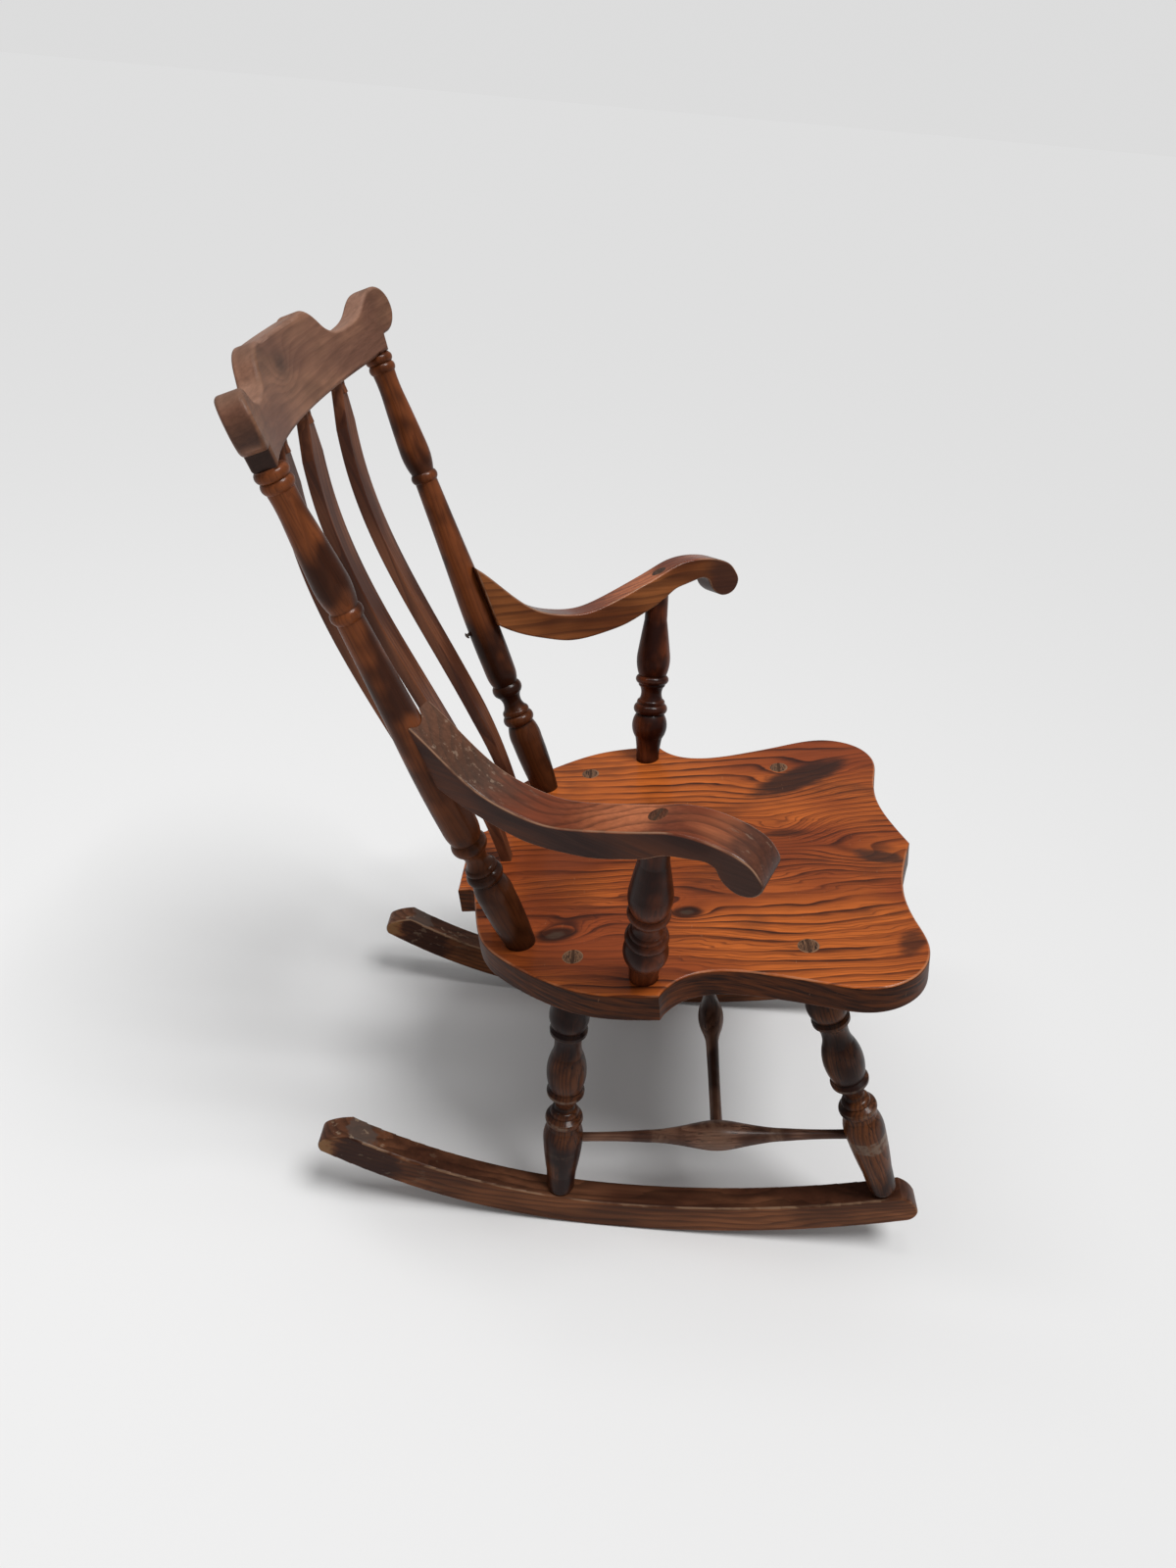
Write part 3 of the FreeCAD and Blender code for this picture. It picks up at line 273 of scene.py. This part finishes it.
wood = Finish(bpy.data.materials.new("seat_varnish"))
place = wood.place()
across, back = wood.parts(place)[:2]
wander = wood.cloud(place, (4.4, 1.5, 3), 2)
sway = wood.cloud(place, (13, 3.6, 13), 1)
ripple = wood.cloud(place, (44, 11, 44), 2, 0.6)
phase = across / SEAT_LINE_SPACING + wander * 9 + sway * 2.4 + ripple * 0.7
for middle, half_width, half_length, turn, lines in SEAT_KNOTS:
    swing = oval(across, back, middle, half_width * SWING_REACH, half_length * SWING_REACH, turn)
    phase = phase + swing.faded() * lines
ring = phase.part()
thin_ring = (phase * 3.1 + ripple * 2).part()
bold = wood.cloud(place, (15, 3.2, 15), 2, 0.6).between(0.42, 0.62)
line = ring.strip((0.58, 0.94), (0.94, 1.0)) * (bold * 0.85 + 0.15)
thin_line = thin_ring.strip((0.55, 0.9), (0.9, 1.0))
thin_line = thin_line * wood.cloud(place, (11, 4, 11), 1).between(0.36, 0.62)
fibre = wood.cloud(place, (620, 16, 60), 3, 0.6)
warmth = wood.cloud(place, (6, 3.2, 6), 2, 0.6).between(0.36, 0.62)
colour = wood.blend(warmth, SEAT_DEEP, SEAT_BRIGHT)
colour = wood.blend(ring.between(0.0, 0.9) * 0.5, colour, SEAT_BAND)
colour = wood.blend(thin_line * 0.6, colour, SEAT_THIN_LINE)
colour = wood.blend(line * 0.92, colour, SEAT_LINE)
smudge = wood.cloud(place, (13, 6, 13), 3, 0.65).between(0.52, 0.72)
colour = wood.blend(smudge * 0.5, colour, SEAT_SMUDGE)
ragged = wood.cloud(place, (80, 24, 80), 3, 0.6)
# Dark stains, and in the last patch painted shade.
for middle, half_width, half_length, turn, raggedness, rim, share, stain_and_shade in SEAT_PATCHES:
    patch = oval(across, back, middle, half_width, half_length, turn) + ragged * raggedness
    colour = wood.spotted(patch, rim, share, colour, stain_and_shade)
for knot in SEAT_KNOTS[:2]:
    eye = oval(across, back, *knot[:4]) + ragged * 0.8
    colour = wood.spotted(eye, (0.9, 2.2), 0.88, colour, KNOT_RIM)
    colour = wood.spotted(eye, (0.45, 0.75), 0.5, colour, KNOT_HEART)
colour = wood.tinted(colour, 0.5 + fibre)
level = wood.facing((0, math.sin(SEAT_TILT), math.cos(SEAT_TILT)))
# Painted shade: the sides and underside of the seat are painted far darker than its top.
side_streak = wood.cloud(place, (18, 18, 260), 3, 0.6).between(0.3, 0.7)
painted_shade_side_colour = wood.blend(side_streak, SEAT_SHADED_SIDE_DARK, SEAT_SHADED_SIDE_LIGHT)
colour = wood.blend(1 - level.between(0.25, 0.75), colour, painted_shade_side_colour)
rubbed = level.strip((0.35, 0.65), (0.86, 0.985))
rubbed = rubbed * wood.cloud(place, (26, 26, 26), 3).between(0.36, 0.62)
colour = wood.blend(rubbed * 0.75, colour, SEAT_RUBBED)
scratch = wood.cloud(place, (45, 240, 45), 4, 0.75).between(0.67, 0.72)
colour = wood.blend(scratch * 0.25, colour, SEAT_SCRATCH)
wave = wood.cloud(place, (30, 12, 30), 2)
relief = fibre * SEAT_FIBRE_HEIGHT - line * SEAT_LINE_DEPTH + wave * SEAT_WAVE_HEIGHT
roughness = 0.36 + ragged * 0.16
finish = wood.varnish(colour, relief, roughness, level.between(0.5, 0.9) * 0.25, 0.16)
dressed("seat", finish)


# The legs, arm posts and back posts
# Turned hardwood, stained near black with red-brown where the light comes through the varnish.
# The beads of the legs and arm posts are worn paler on their crests, and the back posts'
# beads are dark. The hollows between them are darker.

LATHE_BAND_SPACING, LATHE_PORE_DEPTH = 0.0055, 0.00016
RING_CREST, RING_HOLLOW = (0.0013, 0.0026), (0.0006, 0.0028)
TENON_RIM_SPAN = (0.0098 ** 2, 0.0112 ** 2)
PORE, HOLLOW_DARKENING = (0.007, 0.003, 0.002), (0.006, 0.003, 0.002)
TENON_DARK, TENON_LIGHT = (0.020, 0.010, 0.007), (0.170, 0.085, 0.045)
TENON_RIM = (0.27, 0.15, 0.085)


def grown_on_lathe(finish, light, dark, worn, streaky=1.0):
    """The colour and height of turned wood, from the way its grain runs and its rings.
    Streaky is how strongly its bands and streaks show."""
    grain = finish.carried("grain")
    side, other = finish.parts(grain)[:2]
    wander = finish.cloud(grain, (60, 60, 6), 2)
    streak = finish.cloud(grain, (380, 380, 9), 3, 0.62)
    band = ((side + other * 0.6) / LATHE_BAND_SPACING + wander * 3.5).part()
    proud = finish.carried_number("proud")
    patch = finish.cloud(grain, (26, 26, 16), 2).between(0.38, 0.64)
    colour = finish.blend(patch, dark, light)
    colour = finish.blend(band.between(0.4, 0.9) * (0.6 * streaky), colour, dark)
    colour = finish.tinted(colour, 1 + (streak - 0.5) * (1.4 * streaky))
    colour = finish.blend(streak.between(0.55, 0.66) * (0.8 * streaky), colour, PORE)
    rub = finish.cloud(grain, (130, 130, 130), 3).between(0.3, 0.62)
    colour = finish.blend(proud.between(*RING_CREST) * rub * 0.85, colour, worn)
    # Darker in the hollows between the beads.
    colour = finish.blend((-proud).between(*RING_HOLLOW) * 0.8, colour, HOLLOW_DARKENING)
    hatch = finish.cloud(finish.place(), (140, 900, 140), 2, 0.6).between(0.38, 0.58)
    end_grain = finish.blend(hatch, TENON_DARK, TENON_LIGHT)
    rim = (side.squared() + other.squared()).between(*TENON_RIM_SPAN)
    end_grain = finish.blend(rim * 0.7, end_grain, TENON_RIM)
    colour = finish.blend(finish.carried_number("sawn"), colour, end_grain)
    return colour, streak * -LATHE_PORE_DEPTH


# A turned piece is measured in rows of this length, a ring stands proud of the mean of this many
# rows to each side of it, and the end that the saw cut is this long.
RING_ROW, RING_REACH, SAWN_LENGTH = 0.0005, 28, 0.014


def ring_crests(piece, grain, cut=0.0):
    """Gives a turned piece, at each point, how far its rings stand proud, and its sawn end."""
    reach = np.hypot(grain[:, 0], grain[:, 1])
    rows = ((grain[:, 2] - grain[:, 2].min()) / RING_ROW).astype(int)
    widest = np.zeros(rows.max() + 1)
    np.maximum.at(widest, rows, reach)
    known = np.flatnonzero(widest > 0)
    widest = np.interp(np.arange(len(widest)), known, widest[known])
    window = np.hanning(2 * RING_REACH + 1)
    padded = np.pad(widest, RING_REACH, mode="edge")
    smooth = np.convolve(padded, window / window.sum(), "valid")
    proud = piece.data.attributes.new("proud", "FLOAT", "POINT")
    proud.data.foreach_set("value", (widest - smooth)[rows])
    sawn = piece.data.attributes.new("sawn", "FLOAT", "POINT")
    sawn.data.foreach_set("value", (grain[:, 2] > grain[:, 2].max() - SAWN_LENGTH) * cut)


# Each kind: how far its end grain shows, how streaky it is, and its light, dark and worn colours.
TURNED = (
    ("front_leg", 1.0, 1.0, (0.110, 0.034, 0.010), (0.016, 0.005, 0.003), (0.15, 0.10, 0.07)),
    ("rear_leg", 1.0, 1.0, (0.092, 0.028, 0.009), (0.014, 0.004, 0.003), (0.15, 0.10, 0.07)),
    ("arm_post", 0.35, 0.55, (0.105, 0.024, 0.007), (0.018, 0.004, 0.002), (0.10, 0.045, 0.03)),
    ("back_post", 0.0, 0.45, (0.165, 0.046, 0.014), (0.036, 0.010, 0.004), (0.030, 0.014, 0.010)),
)
# The heights between which the back posts' painted shade fades out.
BACK_POST_PAINTED_SHADE = (0.44, 0.74)
OPEN_SIDE = (-0.3, -0.3, 0.9)

# Each piece's pattern starts this much further along the grain, so that no two are alike.
PATTERN_STEP = 0.7

start = 0
for kind, cut, streaky, light, dark, worn in TURNED:
    wood = Finish(bpy.data.materials.new(kind + "_varnish"))
    colour, relief = grown_on_lathe(wood, light, dark, worn, streaky)
    # Painted shade: the back posts are painted darker towards the bottom.
    if kind == "back_post":
        height = wood.parts(wood.place())[2]
        colour = wood.tinted(colour, 0.4 + height.between(*BACK_POST_PAINTED_SHADE) * 0.65)
    gloss = wood.facing(OPEN_SIDE).between(0.3, 0.95) * 0.22
    finish = wood.varnish(colour, relief, 0.34, gloss, 0.12)
    for hand in ("right", "left"):
        piece, grain = dressed(f"{hand}_{kind}", finish, start=start)
        ring_crests(piece, grain, cut)
        start += PATTERN_STEP


# The stretchers
# Two slim turned side rungs with a bulb in the middle, tenoned into the legs, and a plain
# swelled one tenoned into their bulbs. Duller than the legs, because feet and brooms rub them.

RUNG_LIGHT, RUNG_DARK = (0.190, 0.095, 0.060), (0.050, 0.020, 0.012)
RUNG_WORN = (0.13, 0.07, 0.045)

wood = Finish(bpy.data.materials.new("stretcher_varnish"))
colour, relief = grown_on_lathe(wood, RUNG_LIGHT, RUNG_DARK, RUNG_WORN)
finish = wood.varnish(colour, relief, 0.42, 0.15, 0.2)
for start, node in enumerate(("right_side_stretcher", "left_side_stretcher", "cross_stretcher")):
    piece, grain = dressed(node, finish, start=start)
    ring_crests(piece, grain)


# The rockers
# Two sawn runners of plain hardwood with rounded ends, the legs tenoned into their tops.
# The varnish is thin and brown, with pale rubs along the edges and about the rear ends.

ROCKER_BAND_SPACING, ROCKER_PORE_DEPTH, ROCKER_CHIP_DEPTH = 0.0085, 0.0001, 0.0002
ROCKER_TOP_DARK, ROCKER_TOP_LIGHT = (0.058, 0.020, 0.010), (0.130, 0.050, 0.024)
ROCKER_SIDE_DARK, ROCKER_SIDE_LIGHT = (0.070, 0.022, 0.008), (0.175, 0.060, 0.022)
ROCKER_BAND = (0.022, 0.008, 0.004)
ROCKER_RUBBED, ROCKER_CHIPPED = (0.27, 0.16, 0.095), (0.26, 0.18, 0.12)

# Along the rear end, in metres behind the origin: the dark of its sides, the bare patch on top
# and the pale tip.
TAIL_DARK, TAIL_RISE, TAIL_FALL = (0.020, 0.006, 0.004), (0.275, 0.300), (0.352, 0.368)
BARE_GREY, BARE_RISE, BARE_FALL = (0.085, 0.065, 0.055), (0.312, 0.320), (0.345, 0.352)
TIP_GOLD, TIP_RISE = (0.22, 0.11, 0.045), (0.362, 0.375)
CHIPPED_LENGTH = (0.17, 0.34)

wood = Finish(bpy.data.materials.new("rocker_varnish"))
place = wood.place()
across, back, up = wood.parts(place)
wander = wood.cloud(place, (20, 3, 20), 2)
ripple = wood.cloud(place, (60, 12, 60), 2)
bent = (up - back.squared() * 0.5) / ROCKER_BAND_SPACING
band = (bent + across / 0.02 + wander * 4 + ripple).part()
streak = wood.cloud(place, (170, 9, 330), 3, 0.65)
patch = wood.cloud(place, (18, 6, 18), 2).between(0.38, 0.62)
side = wood.facing((1, 0, 0)).squared()
colour = wood.blend(patch, ROCKER_TOP_DARK, ROCKER_TOP_LIGHT)
flank = wood.blend(patch, ROCKER_SIDE_DARK, ROCKER_SIDE_LIGHT)
colour = wood.blend(side.between(0.4, 0.8), colour, flank)
colour = wood.blend(band.between(0.35, 0.9) * 0.5, colour, ROCKER_BAND)
colour = wood.tinted(colour, 0.4 + streak * 1.2)
rearward = back + wood.cloud(place, (60, 40, 60), 3, 0.6) * 0.05
tail = rearward.strip(TAIL_RISE, TAIL_FALL)
colour = wood.blend(tail * side.between(0.5, 0.8) * 0.85, colour, TAIL_DARK)
tip = rearward.between(*TIP_RISE) * side.between(0.5, 0.8)
colour = wood.blend(tip * 0.8, colour, TIP_GOLD)
bare = rearward.strip(BARE_RISE, BARE_FALL)
colour = wood.blend(bare * (1 - side.between(0.3, 0.7)) * 0.7, colour, BARE_GREY)
edge = side.strip((0.03, 0.3), (0.55, 0.96))
rub = wood.cloud(place, (70, 24, 70), 3).between(0.36, 0.6)
colour = wood.blend(edge * rub * 0.75, colour, ROCKER_RUBBED)
chip = wood.cloud(place, (85, 45, 85), 3, 0.65).between(0.60, 0.66)
chip = chip * back.between(*CHIPPED_LENGTH)
colour = wood.blend(chip * (1 - side * 0.6) * 0.7, colour, ROCKER_CHIPPED)
relief = streak * -ROCKER_PORE_DEPTH - chip * ROCKER_CHIP_DEPTH
finish = wood.varnish(colour, relief, 0.46, (1 - side) * 0.12, 0.22)
for node in ("right_rocker", "left_rocker"):
    dressed(node, finish)


# The back spindles and the crest rail
# Flat bowed spindles that swell to an arrow shape, tenoned into the seat and into the shaped
# rail, which the posts carry too. Both are satin mid brown, with long soft grain, and one knot
# by the middle of the rail. The rail's top carries a painted highlight, and the lower part of
# its ends painted shade.

SPINDLE_BAND_SPACING, SPINDLE_PORE_DEPTH = 0.008, 0.00009
SPINDLE_DARK, SPINDLE_LIGHT = (0.066, 0.020, 0.009), (0.170, 0.062, 0.030)
SPINDLE_BAND = (0.028, 0.009, 0.006)

wood = Finish(bpy.data.materials.new("spindle_varnish"))
grain = wood.carried("grain")
thin, side = wood.parts(grain)[:2]
wander = wood.cloud(grain, (24, 24, 4), 2)
band = (side / SPINDLE_BAND_SPACING + thin / 0.02 + wander * 3.5).part()
streak = wood.cloud(grain, (260, 420, 9), 3, 0.65)
patch = wood.cloud(grain, (20, 20, 6), 2).between(0.38, 0.64)
colour = wood.blend(patch, SPINDLE_DARK, SPINDLE_LIGHT)
colour = wood.blend(band.between(0.4, 0.95) * 0.5, colour, SPINDLE_BAND)
colour = wood.tinted(colour, 0.5 + streak)
finish = wood.varnish(colour, streak * -SPINDLE_PORE_DEPTH, 0.42, 0.1, 0.2)
for start, node in enumerate(("right_spindle", "middle_spindle", "left_spindle")):
    dressed(node, finish, start=start)

RAIL_BAND_SPACING, RAIL_PORE_DEPTH = 0.011, 0.00006
RAIL_KNOT = ((0.012, -0.035), 0.011, 0.020)
RAIL_DARK, RAIL_LIGHT = (0.120, 0.050, 0.030), (0.250, 0.116, 0.066)
RAIL_BAND, RAIL_KNOT_DARK = (0.070, 0.024, 0.012), (0.030, 0.014, 0.010)
RAIL_PAINTED_TOP_LIGHT, RAIL_END = (0.300, 0.170, 0.120), (0.200, 0.085, 0.055)
RAIL_BLOTCH, RAIL_END_PAINTED_SHADE = (0.080, 0.038, 0.022), (0.018, 0.008, 0.006)
RAIL_END_SHADE_SPAN = (-0.034, 0.036)

wood = Finish(bpy.data.materials.new("crest_varnish"))
grain = wood.carried("grain")
up, across = wood.parts(grain)[1:]
wander = wood.cloud(grain, (14, 14, 2.5), 2)
knot = oval(up, across, *RAIL_KNOT)
band = (up / RAIL_BAND_SPACING + wander * 4 + (knot / 3).faded() * 3).part()
streak = wood.cloud(grain, (200, 380, 10), 3, 0.65)
patch = wood.cloud(grain, (16, 16, 6), 2).between(0.36, 0.64)
colour = wood.blend(patch, RAIL_DARK, RAIL_LIGHT)
colour = wood.blend(band.between(0.3, 0.95) * 0.35, colour, RAIL_BAND)
colour = wood.blend(knot.faded() * 0.85, colour, RAIL_KNOT_DARK)
# Painted highlight: the top of the rail is painted paler, as lit from above.
painted_top_light = wood.facing((0, 0, 1)).between(0.2, 0.9)
colour = wood.blend(painted_top_light * 0.6, colour, RAIL_PAINTED_TOP_LIGHT)
blotch = wood.cloud(grain, (22, 12, 7), 3, 0.6).between(0.45, 0.68)
colour = wood.blend(blotch * 0.6, colour, RAIL_BLOTCH)
outer = wood.facing((1, 0, 0)).squared().between(0.2, 0.8)
colour = wood.blend(outer * 0.55, colour, RAIL_END)
# Painted shade: the lower part of the rail's ends is painted near black.
painted_end_shade = outer * (1 - up.between(*RAIL_END_SHADE_SPAN))
colour = wood.blend(painted_end_shade * 0.92, colour, RAIL_END_PAINTED_SHADE)
colour = wood.tinted(colour, 0.6 + streak * 0.8)
finish = wood.varnish(colour, streak * -RAIL_PORE_DEPTH, 0.46, 0.08, 0.25)
dressed("crest_rail", finish)


# The arms
# Two sawn arms that scroll over at the front, wedged on the arm posts' tenons and coped round
# the back posts. Their tops are worn: grey-brown at the rear, red in the middle, dark at the
# scroll.

ARM_FLARE, ARM_LEAN = math.radians(25.7), math.radians(13.2)
ARM_TENON = (0.296, -0.0003, 0.6865)
ARM_BAND_SPACING, ARM_PORE_DEPTH = 0.011, 0.0001
ARM_OUTER_DARK, ARM_OUTER_LIGHT = (0.024, 0.006, 0.003), (0.088, 0.024, 0.008)
ARM_INNER_DARK, ARM_INNER_LIGHT = (0.120, 0.034, 0.010), (0.260, 0.088, 0.026)
ARM_TOP_DARK, ARM_TOP_LIGHT = (0.150, 0.036, 0.015), (0.420, 0.130, 0.052)
ARM_BAND, ARM_REAR, ARM_HAND = (0.040, 0.013, 0.007), (0.052, 0.030, 0.020), (0.045, 0.018, 0.012)
# The pale of the rounded edges is partly rubbed wear and partly a painted highlight.
ARM_SCUFF, ARM_RUBBED_AND_HIGHLIGHT = (0.25, 0.17, 0.12), (0.36, 0.20, 0.12)

# Across the arm from its middle line, and along it from the arm post's tenon.
INNER_SPAN, REAR_SPAN, HAND_SPAN = (-0.014, -0.006), (-0.155, -0.085), (0.075, 0.110)

wood = Finish(bpy.data.materials.new("arm_varnish"))
grain = wood.carried("grain")
out, rise, along = wood.parts(grain)
wander = wood.cloud(grain, (20, 20, 3.5), 2)
band = (out / ARM_BAND_SPACING + rise / 0.016 + wander * 4).part()
streak = wood.cloud(grain, (300, 300, 11), 3, 0.65)
patch = wood.cloud(grain, (16, 16, 7), 2).between(0.36, 0.64)
top = wood.carried_number("edgeways").between(0.05, 0.5)
colour = wood.blend(patch, ARM_OUTER_DARK, ARM_OUTER_LIGHT)
inner = 1 - out.between(*INNER_SPAN)
inner_colour = wood.blend(patch, ARM_INNER_DARK, ARM_INNER_LIGHT)
colour = wood.blend(inner * 0.85, colour, inner_colour)
top_colour = wood.blend(patch, ARM_TOP_DARK, ARM_TOP_LIGHT)
colour = wood.blend(top, colour, top_colour)
colour = wood.blend(band.between(0.4, 0.95) * 0.5, colour, ARM_BAND)
smear = wood.cloud(grain, (40, 40, 18), 3, 0.6)
rear = 1 - (along + smear * 0.08).between(*REAR_SPAN)
colour = wood.blend(rear * top * 0.85, colour, ARM_REAR)
hand = (along + smear * 0.05).between(*HAND_SPAN)
colour = wood.blend(hand * 0.85, colour, ARM_HAND)
scuff = wood.cloud(grain, (150, 150, 40), 4, 0.7).between(0.58, 0.68)
colour = wood.blend(scuff * (rear * 0.6 + hand * 0.4) * top, colour, ARM_SCUFF)
colour = wood.tinted(colour, 0.5 + streak)
# The rounded edges are painted paler: partly rubbed wear, partly a painted highlight along them.
edge = wood.carried_number("sidelong").strip((0.06, 0.35), (0.55, 0.96))
rub = wood.cloud(grain, (50, 50, 26), 3).between(0.3, 0.58)
colour = wood.blend(edge * rub * 0.8, colour, ARM_RUBBED_AND_HIGHLIGHT)
relief = streak * -ARM_PORE_DEPTH
finish = wood.varnish(colour, relief, 0.34 + smear * 0.12, top * 0.25, 0.14)


def faces_of_arm(piece, outward, upward):
    """Gives each point of an arm how far its surface faces up, and how far sideways."""
    normals = np.empty(len(piece.data.vertices) * 3)
    piece.data.vertices.foreach_get("normal", normals)
    normals = normals.reshape(-1, 3)
    for name, reading in (("edgeways", normals @ upward), ("sidelong", (normals @ outward) ** 2)):
        piece.data.attributes.new(name, "FLOAT", "POINT").data.foreach_set("value", reading)


for side, node in ((-1, "right_arm"), (1, "left_arm")):
    forward = np.array((side * math.sin(ARM_FLARE), -math.cos(ARM_FLARE), 0))
    outward = np.array((side * math.cos(ARM_FLARE) * math.cos(ARM_LEAN),
                        math.sin(ARM_FLARE) * math.cos(ARM_LEAN), -math.sin(ARM_LEAN)))
    upward = np.cross(forward, outward) * side
    ways, root = (outward, upward, forward), np.array(ARM_TENON) * (side, 1, 1)
    piece = dressed(node, finish, ways, root)[0]
    faces_of_arm(piece, outward, upward)


# The wedges and the screw
# Slivers of wood driven into the kerfs of the six through tenons, and one small dark screw
# that holds the left arm's rear end to its back post.

WEDGE_DARK, WEDGE_LIGHT = (0.020, 0.010, 0.007), (0.10, 0.05, 0.028)
STEEL, RUST = (0.10, 0.085, 0.075), (0.07, 0.035, 0.022)
FLECK_HEIGHT = 0.0001

wood = Finish(bpy.data.materials.new("wedge_end_grain"))
fleck = wood.cloud(wood.place(), (900, 900, 900), 2)
colour = wood.blend(fleck, WEDGE_DARK, WEDGE_LIGHT)
finish = wood.varnish(colour, fleck * FLECK_HEIGHT, 0.45)
for hand in ("right", "left"):
    for kind in ("front_leg_wedge", "rear_leg_wedge", "arm_post_wedge"):
        dressed(f"{hand}_{kind}", finish)

metal = Finish(bpy.data.materials.new("screw_steel"))
rust = metal.cloud(metal.place(), (700, 700, 700), 3)
metal.feed(metal.shader.inputs["Metallic"], 0.8)
colour = metal.blend(rust.between(0.4, 0.65), STEEL, RUST)
finish = metal.varnish(colour, rust * FLECK_HEIGHT, 0.5)
dressed("left_arm_screw", finish)


# The floor, the light and the camera
# A plain pale floor, soft daylight from high on the camera's side, a ceiling strip above the
# chair, and the camera at the photograph's angle.

FLOOR_SIZE, FLOOR_PAINT = 80, (0.80, 0.80, 0.80)
DAYLIGHT_FROM, DAYLIGHT_STRENGTH, DAYLIGHT_SPREAD = Vector((-0.7, -1.0, 3)), 2.1, math.radians(24)
STRIP_PLACE, STRIP_WIDTH, STRIP_LENGTH, STRIP_WATTS = (-0.2, 0.5, 2.6), 0.3, 2.0, 14
SKY_LIGHT, SKY_SEEN = 0.30, 0.42
CAMERA_PLACE = (-1.1672, 0.06068, 1.26206)
CAMERA_AHEAD = (0.84469, 0.00496, -0.53523)
CAMERA_ROLL = math.radians(5.10)
CAMERA_LENS, CAMERA_FILM = 26.28, 36

bpy.ops.mesh.primitive_plane_add(size=FLOOR_SIZE)
floor = bpy.context.object
floor.name = "floor"
paint = Finish(bpy.data.materials.new("floor_paint"))
paint.feed(paint.shader.inputs["Base Color"], FLOOR_PAINT)
paint.feed(paint.shader.inputs["Roughness"], 1.0)
paint.feed(paint.shader.inputs["Specular IOR Level"], 0.0)
floor.data.materials.append(paint.surface)

bpy.ops.object.light_add(type="SUN", location=DAYLIGHT_FROM)
daylight = bpy.context.object
daylight.name = "soft_daylight"
daylight.data.energy = DAYLIGHT_STRENGTH
daylight.data.angle = DAYLIGHT_SPREAD
daylight.rotation_euler = DAYLIGHT_FROM.to_track_quat("Z", "Y").to_euler()

bpy.ops.object.light_add(type="AREA", location=STRIP_PLACE)
strip = bpy.context.object
strip.name = "ceiling_strip"
strip.data.shape = "RECTANGLE"
strip.data.size = STRIP_WIDTH
strip.data.size_y = STRIP_LENGTH
strip.data.energy = STRIP_WATTS

sky = Finish(bpy.data.worlds.new("sky"), "Background")
seen = sky.node("ShaderNodeLightPath", {}, {}, "Is Camera Ray")
sky.feed(sky.shader.inputs["Strength"], SKY_LIGHT + seen * SKY_SEEN)
sky.feed(sky.shader.inputs["Color"], (1.0, 1.0, 1.0))
bpy.context.scene.world = sky.surface

bpy.ops.object.camera_add(location=CAMERA_PLACE)
camera = bpy.context.object
camera.data.lens = CAMERA_LENS
camera.data.sensor_width = CAMERA_FILM
camera.data.dof.use_dof = False
ahead = Vector(CAMERA_AHEAD).normalized()
level = Vector((0, 0, 1)).cross(-ahead).normalized()
upright = (-ahead).cross(level)
right = level * math.cos(CAMERA_ROLL) + upright * math.sin(CAMERA_ROLL)
camera_ways = Matrix((right, (-ahead).cross(right), -ahead)).transposed()
camera.rotation_euler = camera_ways.to_euler()
bpy.context.scene.camera = camera
bpy.context.scene.view_settings.view_transform = "Standard"
